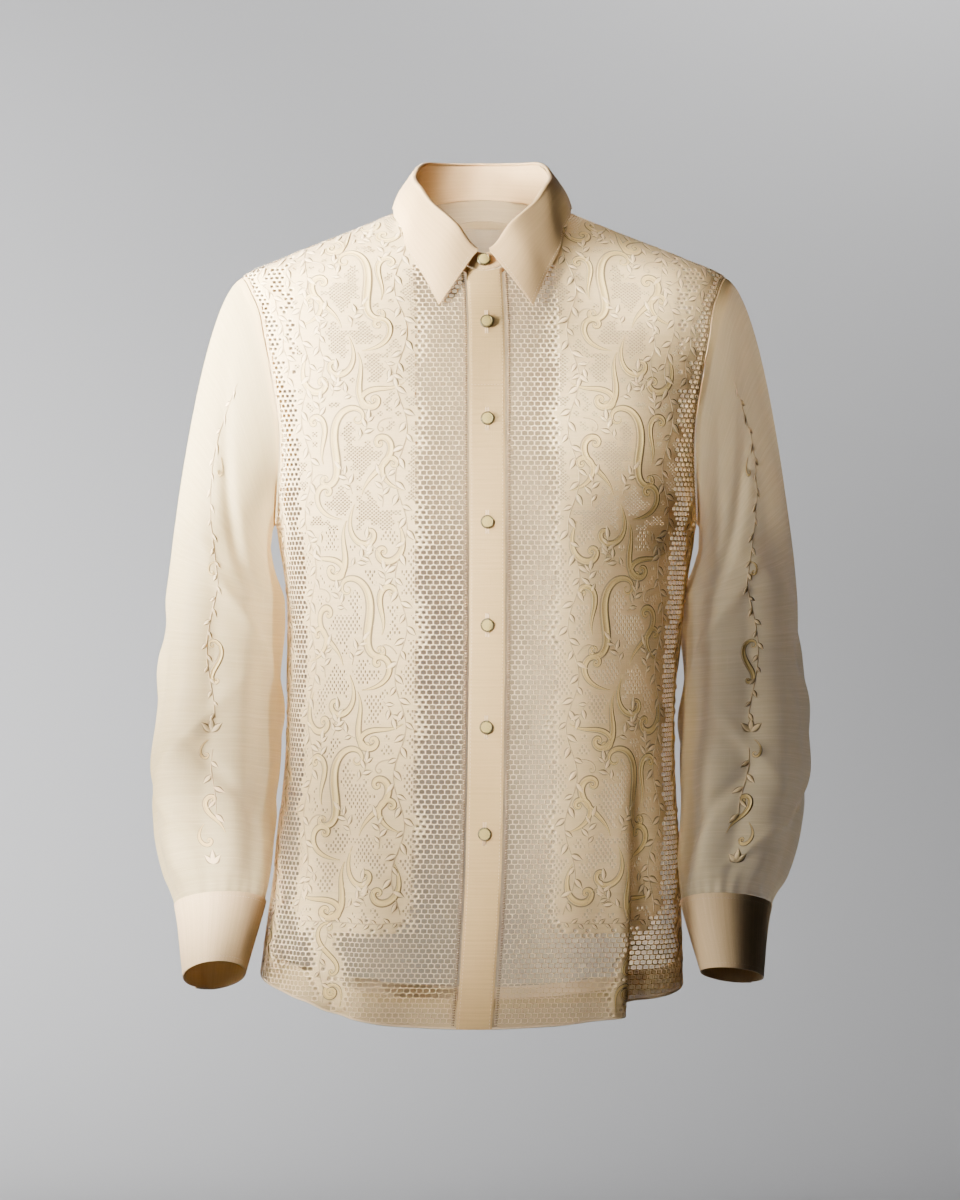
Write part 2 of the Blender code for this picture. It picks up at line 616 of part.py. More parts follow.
def stand_top(round_neck):
    """The top of the neck band, which runs smoother round the neck than the seam at its foot."""
    away = np.abs(np.asarray(round_neck, float))
    slope = (COLLAR("fold", away + 1) - COLLAR("fold", away - 1)) / (math.radians(2) * NECK_RADIUS)
    smooth = np.mean([neck_seam(round_neck + turn) for turn in (-18, -12, -6, 0, 6, 12, 18)], axis=0)
    axis = np.array([float(BODY("centre", SIDE_NECK)), 0.0, 0.0])
    top = axis + (smooth - axis) * (1 - COLLAR("lean", away)[..., None])
    top[..., 2] = COLLAR("fold", away) - FOLD_DROP * np.sqrt(1 + slope**2)
    return top


def outward_flat(points):
    """Level directions square to a line of points that runs round the neck."""
    run = np.gradient(points, axis=0)
    return unit(np.stack([-run[:, 1], run[:, 0], np.zeros(len(run))], axis=-1))


def build_stand(plain):
    inner = neck_rounds()[1:-1]
    rounds = np.concatenate([[-STAND_LAP_RIGHT, -180.0], inner, [180.0, STAND_LAP_LEFT]])
    foot, top = neck_seam(rounds), stand_top(rounds)
    foot[2:-2:2] = (foot[1:-3:2] + foot[3:-1:2]) / 2
    foot[:, 2] += 3 * SEAM
    tuck = (PLAIN + 1.5 * SEAM) * ease((-rounds - STAND_TUCK) / 15.0)
    out = outward_flat(foot)
    foot -= SEAM * out
    grid = np.array([foot + t * (top - foot) - tuck[:, None] * out for t in np.linspace(0, 1, STAND_ROWS + 1)])
    wall("collar_stand", grid, grid - PLAIN * out[None], plain)


def collar_grid(rounds, rows):
    """The collar's outer face: over the fold, then down to its edge."""
    sign = np.where(rounds < 0, -1.0, 1.0)
    top = stand_top(rounds)
    top[:, 2] = COLLAR("fold", np.abs(rounds))
    out = outward_flat(top)
    edge_round = sign * COLLAR("edge_round", np.abs(rounds))
    level = COLLAR("edge_level", np.abs(rounds))
    edge = body_point(270.0 + edge_round, level) + COLLAR_CLEAR * body_normal(270.0 + edge_round, level)
    up = np.array([0.0, 0.0, 1.0])
    lines = [top + a * out + b * up for a, b in FOLD_ROUND]
    start = lines[-1]
    for t in np.linspace(0, 1, rows + 1)[1:]:
        lines.append(start + t * (edge - start) + COLLAR_BOW * math.sin(math.pi * t) * out)
    return np.array(lines)


def build_collar(plain):
    rounds = neck_rounds()
    rounds = rounds[np.abs(rounds) < COLLAR_END - 2]
    rounds = np.concatenate([[-COLLAR_END], rounds, [COLLAR_END]])
    grid = collar_grid(rounds, COLLAR_ROWS)
    wall("collar", grid, grid - PLAIN * grid_normals(grid), plain)


# ---------------------------------------------------------------- buttons
def build_button(name, seat, out, width, metal):
    """A low round button with a bevelled rim and a slightly sunk face, turned about its own axis."""
    half, thick = width / 2, BUTTON_THICK
    profile = (
        (0.80 * half, 0.0),
        (half, 0.30 * thick),
        (half, 0.70 * thick),
        (0.86 * half, thick),
        (0.76 * half, 0.90 * thick),
    )
    out = out / np.linalg.norm(out)
    side = np.cross(out, (0.0, 0.0, 1.0))
    side = side / np.linalg.norm(side)
    up = np.cross(side, out)
    points = []
    for radius, height in profile:
        for k in range(BUTTON_SIDES):
            turn = 2 * math.pi * (k + 0.5) / BUTTON_SIDES
            points.append(seat + radius * (math.cos(turn) * side + math.sin(turn) * up) + height * out)
    faces = [tuple(range(BUTTON_SIDES))]
    faces.append(tuple(reversed(range(len(points) - BUTTON_SIDES, len(points)))))
    for ring in range(len(profile) - 1):
        for k in range(BUTTON_SIDES):
            a, b = ring * BUTTON_SIDES + k, ring * BUTTON_SIDES + (k + 1) % BUTTON_SIDES
            faces.append((b, a, a + BUTTON_SIDES, b + BUTTON_SIDES))
    add_object(name, points, faces, metal)


def build_buttons(metal):
    centre = neck_seam(180.0)
    top = stand_top(180.0)
    rise = top - centre
    out = unit(np.array([0.0, -rise[2], rise[1]]))
    seat = centre + (STAND_BUTTON_HEIGHT - centre[2]) / rise[2] * rise + SEAM * out
    build_button("button_1", seat, out, BUTTON_WIDE, metal)
    for k, level in enumerate(BAND_BUTTON_LEVELS):
        on, out = body_point(90.0, level), body_normal(90.0, level)
        build_button(f"button_{k + 2}", on + (2.8 * SEAM + PLAIN) * out, out, BUTTON_WIDE, metal)


# ---------------------------------------------------------------- the shirt
def clear_scene():
    for piece in list(bpy.data.objects):
        bpy.data.objects.remove(piece, do_unlink=True)


def main():
    clear_scene()
    net = make_material("calado_cream", (0.80, 0.70, 0.50), 0.75)
    sheer = make_material("jusi_cream", (0.82, 0.74, 0.58), 0.60)
    plain = make_material("plain_ecru", (0.78, 0.65, 0.50), 0.65)
    metal = make_material("antique_brass", (0.42, 0.36, 0.20), 0.35, 0.8)
    grids = build_body(net, sheer)
    build_band(grids, plain)
    for name, side in (("right", -1), ("left", 1)):
        build_sleeve("sleeve_" + name, side, sheer)
        build_cuff(name, side, plain, metal)
    build_stand(plain)
    build_collar(plain)
    build_buttons(metal)


main()
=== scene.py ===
# %% [markdown]
# # Dressing a barong tagalog shirt
#
# A barong tagalog is the sheer formal shirt of the Philippines. Its fronts are calado, an open net drawn
# out of the cloth and worked over with raised scrolls and leaves. The back and sleeves are jusi, a stiff
# sheer weave with slubs. The collar, cuffs and front band are plain cloth.
#
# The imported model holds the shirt's true form as closed walls. Modelling starts from that form: each piece
# of cloth is laid on it again, finer and thinner, with the net, the embroidery and the sewing that a
# solid wall can't show.

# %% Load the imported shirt
import math

import bmesh
import bpy
import numpy as np
from mathutils import Matrix, Vector
from mathutils.kdtree import KDTree


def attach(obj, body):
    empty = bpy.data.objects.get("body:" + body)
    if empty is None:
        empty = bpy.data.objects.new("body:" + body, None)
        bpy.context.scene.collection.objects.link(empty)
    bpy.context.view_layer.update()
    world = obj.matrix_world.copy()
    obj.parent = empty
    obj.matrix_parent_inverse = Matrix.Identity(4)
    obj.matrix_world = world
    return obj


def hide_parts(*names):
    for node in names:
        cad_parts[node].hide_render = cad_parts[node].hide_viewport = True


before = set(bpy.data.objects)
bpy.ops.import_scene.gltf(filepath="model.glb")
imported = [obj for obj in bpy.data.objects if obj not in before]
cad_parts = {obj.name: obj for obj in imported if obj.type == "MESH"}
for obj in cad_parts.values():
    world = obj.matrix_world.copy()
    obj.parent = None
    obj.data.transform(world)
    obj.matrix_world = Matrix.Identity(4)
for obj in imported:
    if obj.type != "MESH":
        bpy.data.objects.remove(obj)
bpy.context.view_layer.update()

# %% [markdown]
# ## Camera, backdrop and light
#
# A long lens stands four metres off, level with the middle of the shirt, so the form is hardly drawn in
# perspective. The floor runs up into the wall in one curve, as in a studio, so no corner shows behind the
# garment. A soft lamp close by on the wearer's right shapes the folds and falls off across the shirt, and
# a second carries it down to the hem. Small narrow lamps lift single places. The wall has lamps of its
# own, and one behind lights the sheer back. The floor and the air show a plain grey to the camera, which
# hardly lights the cloth.

# %% The camera
camera_data = bpy.data.cameras.new("camera")
camera_data.sensor_fit = "HORIZONTAL"
camera_data.sensor_width = 36.0
camera_data.lens = 157.9
camera = bpy.data.objects.new("camera", camera_data)
camera.location = (-0.0067, -4.0, -0.366)
camera.rotation_euler = (math.radians(90), 0, 0)
bpy.context.collection.objects.link(camera)
bpy.context.scene.camera = camera
print("camera lens", camera_data.lens, "mm")


# %% The backdrop
def plain_material(name, colour, roughness):
    material = bpy.data.materials.new(name)
    material.use_nodes = True
    shader = material.node_tree.nodes["Principled BSDF"]
    shader.inputs["Base Color"].default_value = (*colour, 1)
    shader.inputs["Roughness"].default_value = roughness
    return material


FLOOR, WALL, CURVE = -1.645, 7.5, 2.265
NEAR, MAIN_FLOOR, WALL_TOP, HALF_WIDE = -12.0, 4.4, 7.3, 12.0
GREY, COOL = (0.5, 0.5, 0.51), (0.93, 0.95, 1.0, 1)
FLOOR_GLOW, AIR_SHOWN, AIR_LIGHT = 0.26, 0.34, 0.012
profile = [(NEAR, FLOOR), (MAIN_FLOOR, FLOOR), (WALL - CURVE, FLOOR)]
for step in range(1, 17):
    swing = math.radians(90 * step / 16)
    profile.append((WALL - CURVE + CURVE * math.sin(swing), FLOOR + CURVE - CURVE * math.cos(swing)))
profile.append((WALL, WALL_TOP))
points = [(x, y, z) for y, z in profile for x in (-HALF_WIDE, HALF_WIDE)]
faces = [(2 * k, 2 * k + 1, 2 * k + 3, 2 * k + 2) for k in range(len(profile) - 1)]
backdrop_mesh = bpy.data.meshes.new("backdrop")
backdrop_mesh.from_pydata(points, [], faces)
backdrop_mesh.shade_smooth()
for name in ("studio_grey", "studio_floor"):
    backdrop_mesh.materials.append(plain_material(name, GREY, 0.9))
backdrop_mesh.polygons[0].material_index = 1
floor_tree = backdrop_mesh.materials[1].node_tree
floor_shader = floor_tree.nodes["Principled BSDF"]
floor_shader.inputs["Emission Color"].default_value = COOL
seen = floor_tree.nodes.new("ShaderNodeLightPath").outputs["Is Camera Ray"]
glow = floor_tree.nodes.new("ShaderNodeMath")
glow.operation = "MULTIPLY"
glow.inputs[1].default_value = FLOOR_GLOW
floor_tree.links.new(seen, glow.inputs[0])
floor_tree.links.new(glow.outputs[0], floor_shader.inputs["Emission Strength"])
backdrop = bpy.data.objects.new("backdrop", backdrop_mesh)
bpy.context.collection.objects.link(backdrop)


# %% The lamps
def soft_lamp(name, place, aim, size, power, spread=180, colour=(1, 1, 1)):
    """An area lamp. A small spread, in degrees, keeps its light near the line to what it is aimed at."""
    data = bpy.data.lights.new(name, "AREA")
    data.shape, data.size, data.size_y = "RECTANGLE", size[0], size[1]
    data.energy, data.color, data.spread = power, colour, math.radians(spread)
    lamp = bpy.data.objects.new(name, data)
    lamp.location = place
    lamp.rotation_euler = (Vector(aim) - Vector(place)).to_track_quat("-Z", "Y").to_euler()
    bpy.context.collection.objects.link(lamp)
    return lamp


LAMPS = (
    # name, place, aim, size, watts, spread
    ("key", (-0.95, -0.45, -0.05), (-0.38, 0.05, 0.0), (0.4, 0.5), 26.0, 46),
    ("key_low", (-0.85, -0.35, -0.45), (-0.25, 0.0, -0.45), (0.3, 0.5), 4.2, 84),
    ("front_beam", (-1.8, -0.9, 0.8), (-0.2, 0.0, 0.0), (0.8, 0.8), 1.6, 30),
    ("behind", (-1.3, 2.2, 0.6), (0.0, 0.1, -0.3), (1.0, 1.0), 11.0, 100),
    ("neck", (-0.1, -1.2, 0.3), (0.0, 0.06, 0.035), (0.05, 0.05), 0.062, 4.5),
    ("strip", (-0.4, -1.1, -0.36), (0.07, -0.11, -0.37), (0.05, 0.5), 0.12, 9),
    ("chest", (-0.5, -1.0, 0.0), (0.08, -0.12, -0.18), (0.06, 0.12), 0.16, 7),
    ("shoulder", (-0.2, -1.1, 0.35), (0.14, -0.06, -0.08), (0.05, 0.05), 0.13, 7),
    ("belly", (-0.5, -1.2, 0.1), (-0.04, -0.13, -0.37), (0.15, 0.3), 0.68, 12),
    ("sleeve", (-1.1, -0.7, 0.0), (-0.28, 0.0, -0.37), (0.06, 0.3), 0.34, 8),
    ("collar", (-0.8, -0.9, 0.3), (-0.075, -0.05, -0.02), (0.08, 0.08), 0.09, 8),
    ("collar_side", (0.6, -0.9, 0.15), (0.09, -0.005, -0.01), (0.05, 0.05), 0.01, 5),
    ("cuff", (-0.62, -0.85, -0.15), (-0.27, -0.03, -0.645), (0.1, 0.1), 0.38, 11),
    ("right_cuff", (0.75, -0.75, -0.6), (0.295, -0.02, -0.68), (0.06, 0.05), 0.045, 5),
    ("front_low", (-0.5, -1.0, -0.5), (0.0, -0.12, -0.65), (0.1, 0.2), 0.18, 14),
    ("hem_left", (-0.45, -1.0, -0.25), (-0.17, -0.1, -0.67), (0.04, 0.12), 0.09, 8),
    ("side_right", (0.1, -1.2, -0.5), (0.148, -0.07, -0.5), (0.02, 0.34), 0.01, 4),
    ("wall_left", (-3.485, 4.015, 3.582), (-1.742, 7.5, 0.62), (2.09, 1.74), 63.0, 90),
    ("wall_right", (1.568, 3.841, 3.582), (1.307, 7.5, 2.537), (1.39, 1.39), 55.0, 60),
    ("wall_low", (-2.788, 4.712, 1.317), (-1.045, 6.803, -1.035), (1.39, 1.05), 99.0, 120),
    ("wall_side", (2.2, 3.9, 1.0), (1.7, 7.5, 0.1), (1.2, 1.2), 9.0, 100),
)
for row in LAMPS:
    soft_lamp(*row)
world = bpy.data.worlds.new("studio_air")
world.use_nodes = True
world.node_tree.nodes["Background"].inputs["Color"].default_value = COOL
air = world.node_tree.nodes["Background"].inputs["Strength"]
shown = world.node_tree.nodes.new("ShaderNodeLightPath").outputs["Is Camera Ray"]
level = world.node_tree.nodes.new("ShaderNodeMath")
level.operation = "MULTIPLY_ADD"
level.inputs[1].default_value, level.inputs[2].default_value = AIR_SHOWN, AIR_LIGHT
world.node_tree.links.new(shown, level.inputs[0])
world.node_tree.links.new(level.outputs[0], air)
bpy.context.scene.world = world
print(len(LAMPS), "soft lamps")

# %% [markdown]
# ## The form of the shirt
#
# The cloth follows the same curves as the solids: short tables give the body's half widths and depths,
# the hem, the neck seam, the arm's sections and the collar, and a smooth curve joins their rows. The
# formulas are repeated here because a finer mesh of the same surface needs them, and then small creases
# are added that the solids leave out.

# %% Sizes and tables
SIDES = {-1: "right", 1: "left"}
SEAM = 0.0003
SEAM_TURN = 0.07
CENTRE_TURN = 0.09
SIDE_TURN = 90.0 - SEAM_TURN
BAND_HALF = 0.0165
BAND_JOIN = -0.169
FRONT_NECK, SIDE_NECK, BACK_NECK_LIFT = -0.06, 0.006, 0.014
SHOULDER, UNDERARM = -0.06, -0.295
ARMHOLE_DEEP, ARMHOLE_EGG = 0.057, 0.18
YOKE_AT_ARMHOLE = 315.0


class Table:
    """Rows of numbers under named columns, read as smooth curves over the first column."""

    def __init__(self, names, *rows):
        self.names = names.split()
        self.rows = np.array(sorted(rows), float)

    def __call__(self, name, at):
        return smooth_curve(self.rows[:, 0], self.rows[:, self.names.index(name)], np.asarray(at, float))


def smooth_curve(xs, ys, at):
    """A smooth curve through the points (xs, ys) that never swings past them."""
    step = np.diff(xs)
    rise = np.diff(ys) / step
    slope = np.zeros_like(ys)
    slope[0], slope[-1] = rise[0], rise[-1]
    for k in range(1, len(xs) - 1):
        if rise[k - 1] * rise[k] > 0:
            before, after = 2 * step[k] + step[k - 1], step[k] + 2 * step[k - 1]
            slope[k] = (before + after) / (before / rise[k - 1] + after / rise[k])
    at = np.clip(at, xs[0], xs[-1])
    k = np.clip(np.searchsorted(xs, at) - 1, 0, len(step) - 1)
    t = (at - xs[k]) / step[k]
    return (
        (1 + 2 * t) * (1 - t) ** 2 * ys[k]
        + t * (1 - t) ** 2 * step[k] * slope[k]
        + t * t * (3 - 2 * t) * ys[k + 1]
        + t * t * (t - 1) * step[k] * slope[k + 1]
    )


def ease(t):
    """0 below 0, 1 above 1, and a soft S between."""
    t = np.clip(t, 0.0, 1.0)
    return t * t * (3 - 2 * t)


def unit(v):
    return v / np.maximum(np.linalg.norm(v, axis=-1, keepdims=True), 1e-12)


def run_along(line):
    """The distance of each point of a line from its first."""
    return np.concatenate([[0.0], np.cumsum(np.linalg.norm(np.diff(line, axis=0), axis=1))])


def run_across(grid):
    """The distance of each point of a grid from the first of its row."""
    run = np.linalg.norm(np.diff(grid, axis=1), axis=2).cumsum(axis=1)
    return np.concatenate([np.zeros((len(grid), 1)), run], axis=1)


# Half widths and depths of the body at each level. The powers say how square a section is: 2 is an ellipse.
BODY = Table(
    "level centre right left front back front_power back_power",
    (0.006, -0.0045, 0.073, 0.073, 0.059, 0.072, 1.75, 2.5),
    (-0.012, -0.0042, 0.117, 0.117, 0.06, 0.081, 1.6, 2.1),
    (-0.04, -0.0036, 0.188, 0.188, 0.0762, 0.092, 1.6, 1.85),
    (-0.06, -0.003, 0.23, 0.23, 0.0835, 0.098, 1.62, 1.8),
    (-0.08, -0.0018, 0.237, 0.237, 0.092, 0.102, 1.7, 1.85),
    (-0.11, -0.0005, 0.237, 0.237, 0.104, 0.107, 1.82, 1.95),
    (-0.15, 0.0, 0.232, 0.232, 0.114, 0.112, 1.95, 2.1),
    (-0.2, 0.0, 0.219, 0.219, 0.122, 0.115, 2.1, 2.2),
    (-0.247, 0.0, 0.209, 0.209, 0.1265, 0.116, 2.2, 2.3),
    (-0.295, 0.0, 0.2, 0.1985, 0.129, 0.114, 2.3, 2.35),
    (-0.38, 0.0, 0.1895, 0.1865, 0.128, 0.109, 2.35, 2.4),
    (-0.48, -0.001, 0.189, 0.1785, 0.1245, 0.105, 2.35, 2.4),
    (-0.6, -0.003, 0.1965, 0.185, 0.1205, 0.106, 2.35, 2.4),
    (-0.7, -0.008, 0.204, 0.193, 0.1185, 0.11, 2.35, 2.35),
    (-0.77, -0.013, 0.208, 0.1985, 0.118, 0.112, 2.35, 2.35),
)

# The hem's level by the turn away from centre front or centre back.
HEM = Table(
    "turn right left back_right back_left",
    (-33.0, -0.76, -0.76, -0.761, -0.761),
    (0.0, -0.762, -0.762, -0.764, -0.764),
    (33.0, -0.76, -0.76, -0.761, -0.761),
    (49.0, -0.7535, -0.7545, -0.754, -0.755),
    (56.0, -0.748, -0.7515, -0.7495, -0.752),
    (60.0, -0.7385, -0.7405, -0.7465, -0.7495),
    (68.0, -0.732, -0.737, -0.7385, -0.744),
    (80.0, -0.721, -0.73, -0.7245, -0.733),
    (90.0, -0.713, -0.724, -0.713, -0.724),
)

# Levels of the neck seam, by degrees from the side to centre front, and of the yoke seam, by the share
# of the way from centre back to the armhole.
NECKLINE = Table(
    "angle level", (0, SIDE_NECK), (35, -0.012), (63, -0.04), (90, FRONT_NECK), (117, -0.04)
)
YOKE_SEAM = Table(
    "share level", (-0.2, -0.02), (0, -0.018), (0.2, -0.02), (0.45, -0.03), (0.7, -0.052), (1, -0.0944)
)

# Folds of the body. crest stands proud; step is a crest beside a trough, with a steep drop between them.
# A fold starts at the level top and is at its full depth at the level full.
# angle, width, crest, step, top, full
BODY_FOLDS = (
    (33.2, 4.2, 0.0, 0.0105, -0.44, -0.72),
    (147.6, 4.2, 0.0, 0.008, -0.43, -0.73),
    (15.0, 6.0, 0.004, 0.0, -0.5, -0.74),
    (60.0, 9.0, -0.003, 0.0, -0.3, -0.7),
    (118.0, 9.0, -0.003, 0.0, -0.33, -0.7),
    (166.0, 6.5, 0.004, 0.0, -0.48, -0.74),
    (203.0, 5.5, 0.0, -0.006, -0.42, -0.74),
    (228.0, 8.0, -0.004, 0.0, -0.36, -0.72),
    (253.0, 7.0, 0.004, 0.0, -0.3, -0.7),
    (289.0, 7.5, -0.004, 0.0, -0.33, -0.72),
    (312.0, 7.0, 0.004, 0.0, -0.4, -0.74),
    (337.0, 5.0, 0.0, 0.006, -0.44, -0.73),
)

# Sections of the arm, from the armpit to the end of the cuff, for the mean of both arms.
# lean is how much further out the right arm hangs, and how much further in the left one does.
ARM = Table(
    "height out forward half_out half_forward tilt roll lean",
    (-0.36, 0.2475, 0.0, 0.0525, 0.072, 0.0, -11.0, 0.0045),
    (-0.44, 0.249, 0.0, 0.059, 0.07, 3.0, -3.0, 0.0045),
    (-0.52, 0.25, 0.013, 0.062, 0.0665, 8.0, 0.0, 0.0065),
    (-0.58, 0.2475, 0.031, 0.0585, 0.06, 14.0, 1.0, 0.0095),
    (-0.62, 0.2425, 0.044, 0.052, 0.054, 17.0, 2.0, 0.0115),
    (-0.65, 0.237, 0.055, 0.0433, 0.045, 19.0, 3.0, 0.013),
    (-0.7145, 0.241, 0.079, 0.0296, 0.039, 24.0, 6.0, 0.013),
)
ARMPIT_RING, CUFF_TOP, CUFF_END = -0.36, -0.65, -0.7145
CAP_SHARE = 0.45  # share of the sleeve's rows above the armpit ring
CAP_FULLNESS = 0.36  # how far the sleeve head runs outwards before it turns down
CAP_SLOPE = 25.0  # degrees below level at which it leaves the armhole

# Soft creases of the sleeve: round, along, slope, width, length, depth.
SLEEVE_CREASES = (
    (60.0, 0.62, 0.001, 0.05, 70.0, -0.004),
    (115.0, 0.7, -0.0012, 0.045, 60.0, -0.0035),
    (40.0, 0.8, 0.0012, 0.045, 55.0, 0.0035),
    (150.0, 0.86, -0.001, 0.04, 60.0, -0.0035),
    (235.0, 0.66, 0.0012, 0.05, 70.0, -0.004),
    (300.0, 0.76, -0.0012, 0.045, 60.0, -0.0035),
    (270.0, 0.86, 0.0008, 0.04, 60.0, 0.0035),
)
GATHERS, GATHER_DEPTH, GATHER_REACH = 7, 0.0016, 0.1

# The collar, by degrees round the neck from centre back: the height of its fold, the share by which the
# neck is narrower there than at the seam, and where the collar's edge lies on the body.
COLLAR = Table(
    "round fold lean edge_round edge_level",
    (0.0, 0.0545, 0.12, 0.0, -0.0005),
    (50.0, 0.0535, 0.14, 50.0, 0.001),
    (75.0, 0.0475, 0.155, 76.0, 0.0025),
    (95.0, 0.036, 0.155, 98.0, 0.0005),
    (119.0, 0.0245, 0.14, 120.6, -0.018),
    (136.0, 0.0075, 0.11, 133.0, -0.04),
    (160.0, -0.0142, 0.075, 147.5, -0.072),
    (176.0, -0.0385, 0.05, 155.6, -0.0945),
    (190.0, -0.0425, 0.05, 155.6, -0.0945),
)
COLLAR_END = 176.0
NECK_RADIUS = 0.073
COLLAR_CLEAR = 0.0042  # how far the outside of the collar's edge stands off the body
COLLAR_BOW = 0.003
FOLD_ROUND = ((-0.002, -0.0002), (-0.0006, 0.0008), (0.0018, 0.0005), (0.0036, -0.0016))  # out, up
FOLD_DROP = 0.0027  # how far the neck band's top lies below the fold


print("tables read:", len(BODY.rows), "body sections,", len(ARM.rows), "arm sections")


# %% [markdown]
# The solids carry the largest folds. Worn cloth also has shallow creases: soft drags below the arms,
# slack beside the front band and a few long waves towards the hem. Each is a row of a table, uneven in
# place, length and depth, and its sign says whether it is a ridge or a trough.

# %% The body's surface
# angle, level, lean, width, length, depth
SOFT_CREASES = (
    (70.0, -0.3, 20.0, 5.0, 0.12, -0.0016),
    (78.0, -0.52, -18.0, 4.5, 0.11, 0.0014),
    (104.0, -0.43, -25.0, 5.0, 0.13, -0.0016),
    (112.0, -0.23, 20.0, 6.0, 0.09, 0.0015),
    (51.0, -0.42, 30.0, 4.0, 0.12, 0.0016),
    (130.0, -0.56, -30.0, 4.5, 0.12, 0.0018),
    (24.0, -0.37, 90.0, 5.0, 0.06, -0.0018),
    (157.0, -0.38, -80.0, 5.0, 0.07, -0.002),
    (40.0, -0.64, 20.0, 3.5, 0.08, -0.0014),
    (98.0, -0.67, 10.0, 4.0, 0.08, -0.0014),
    (76.0, -0.7, -15.0, 3.6, 0.06, 0.0013),
    (139.0, -0.25, 60.0, 5.0, 0.06, -0.0014),
    (236.0, -0.3, 40.0, 5.0, 0.11, -0.0024),
    (262.0, -0.48, -20.0, 5.0, 0.14, 0.002),
    (281.0, -0.56, 15.0, 4.5, 0.12, -0.0022),
    (300.0, -0.28, -50.0, 5.0, 0.09, -0.0024),
    (322.0, -0.54, 30.0, 4.5, 0.12, 0.002),
    (215.0, -0.56, -25.0, 4.5, 0.12, 0.002),
)


def body_push(angle, level):
    """How far the folds and creases move the body's surface out."""
    push = np.zeros(np.broadcast(angle, level).shape)
    for at, width, crest, step, top, full in BODY_FOLDS:
        away = (angle - at) / width
        depth = ease((top - level) / (top - full))
        push = push + depth * (crest * np.exp(-(away**2) / 2) + step * away * np.exp((1 - away**2) / 2))
    for at, height, lean, width, length, depth in SOFT_CREASES:
        below = level - height
        away = (angle - at - lean * below) / width
        push = push + depth * np.exp(-(away**2) / 2 - (below / length) ** 2)
    return push


def body_point(angle, level):
    """A point on the body. angle: 0 wearer's left side, 90 centre front, 180 right side, 270 centre back."""
    angle, level = np.broadcast_arrays(np.asarray(angle, float) % 360.0, np.asarray(level, float))
    across, deep = np.cos(np.radians(angle)), np.sin(np.radians(angle))
    wide = np.where(across >= 0, BODY("left", level), BODY("right", level))
    front = deep >= 0
    depth = np.where(front, BODY("front", level), BODY("back", level))
    power = np.where(front, BODY("front_power", level), BODY("back_power", level))
    reach = (np.abs(across) / wide) ** power + (np.abs(deep) / depth) ** power
    radius = reach ** (-1 / power) + body_push(angle, level)
    lift = BACK_NECK_LIFT * np.where(front, 0.0, deep**2) * ease((level + 0.09) / (SIDE_NECK + 0.09))
    return np.stack([BODY("centre", level) + radius * across, -radius * deep, level + lift], axis=-1)


def body_normal(angle, level):
    """The body's outward direction, from two short steps on its surface. A side or shoulder seam leans
    neither forward nor back, so that the two pieces on it stay parallel."""
    round_step = body_point(angle + 0.2, level) - body_point(angle - 0.2, level)
    on_seam = np.abs(np.sin(np.radians(angle))) < math.sin(math.radians(2 * SEAM_TURN))
    zero = np.zeros_like(angle)
    square = np.stack([zero, -np.sign(np.cos(np.radians(angle))), zero], axis=-1)
    round_step = np.where(on_seam[..., None], square, round_step)
    up_step = body_point(angle, level) - body_point(angle, np.asarray(level) - 0.001)
    return unit(np.cross(up_step, round_step))


def side_half(turn, level):
    return np.where(np.asarray(turn) >= 0, BODY("left", level), BODY("right", level))


def flat_to_turn(flat):
    """Turns flat pattern points (across, level) into (turn from the centre line, level)."""
    across, level = flat[..., 0], flat[..., 1]
    return np.stack([90.0 * across / side_half(across, level), level], axis=-1)


def turn_to_flat(turns):
    turn, level = turns[..., 0], turns[..., 1]
    return np.stack([turn / 90.0 * side_half(turn, level), level], axis=-1)


def front_angle(turn):
    return 90.0 - turn


def back_angle(turn):
    return 270.0 + turn


def armhole_turn(round_arm, front=True):
    """The armhole at an angle round it, 0 at the shoulder and 180 at the underarm, as (turn, level)."""
    c, s = math.cos(math.radians(round_arm)), math.sin(math.radians(round_arm))
    middle, half = (SHOULDER + UNDERARM) / 2, (SHOULDER - UNDERARM) / 2
    level = middle + half * c
    deep = ARMHOLE_DEEP * abs(s) * (1 - ARMHOLE_EGG * c)
    face = "front" if front else "back"
    power = float(BODY(face + "_power", level))
    out = float(BODY("left", level)) * (1 - (deep / float(BODY(face, level))) ** power) ** (1 / power)
    return 90.0 - math.degrees(math.atan2(deep, out)), level


def armhole_line(start, end, steps, front):
    """The armhole from one angle round it to another, stopping short of the side and shoulder seams."""
    line = [armhole_turn(a, front) for a in np.linspace(start, end, steps + 1)]
    return np.array([(min(turn, SIDE_TURN), level) for turn, level in line])


def even_line(turns, angle_of, count):
    """Resamples a line of (turn, level) into count + 1 points an even distance apart on the body."""
    turns = np.asarray(turns, float)
    points = body_point(angle_of(turns[:, 0]), turns[:, 1])
    run = run_along(points)
    at = np.linspace(0.0, run[-1], count + 1)
    return np.stack([np.interp(at, run, turns[:, 0]), np.interp(at, run, turns[:, 1])], axis=-1)


def filled_patch(left, right, bottom, top):
    """A grid of (turn, level) between four edge lines, blended on the flat pattern, lowest row first."""
    left, right, bottom, top = (turn_to_flat(np.asarray(e, float)) for e in (left, right, bottom, top))
    u = np.linspace(0, 1, len(bottom))
    if len(bottom) > 2:
        run = run_along(bottom)
        u = run / run[-1]
    u = u[None, :, None]
    v = np.linspace(0, 1, len(left))[:, None, None]
    across = (1 - u) * left[:, None] + u * right[:, None]
    along = (1 - v) * bottom[None] + v * top[None]
    corners = (1 - v) * ((1 - u) * bottom[0] + u * bottom[-1]) + v * ((1 - u) * top[0] + u * top[-1])
    return flat_to_turn(across + along - corners)


print("body widest at the shoulder:", round(2 * float(BODY("left", -0.09)), 3), "m")


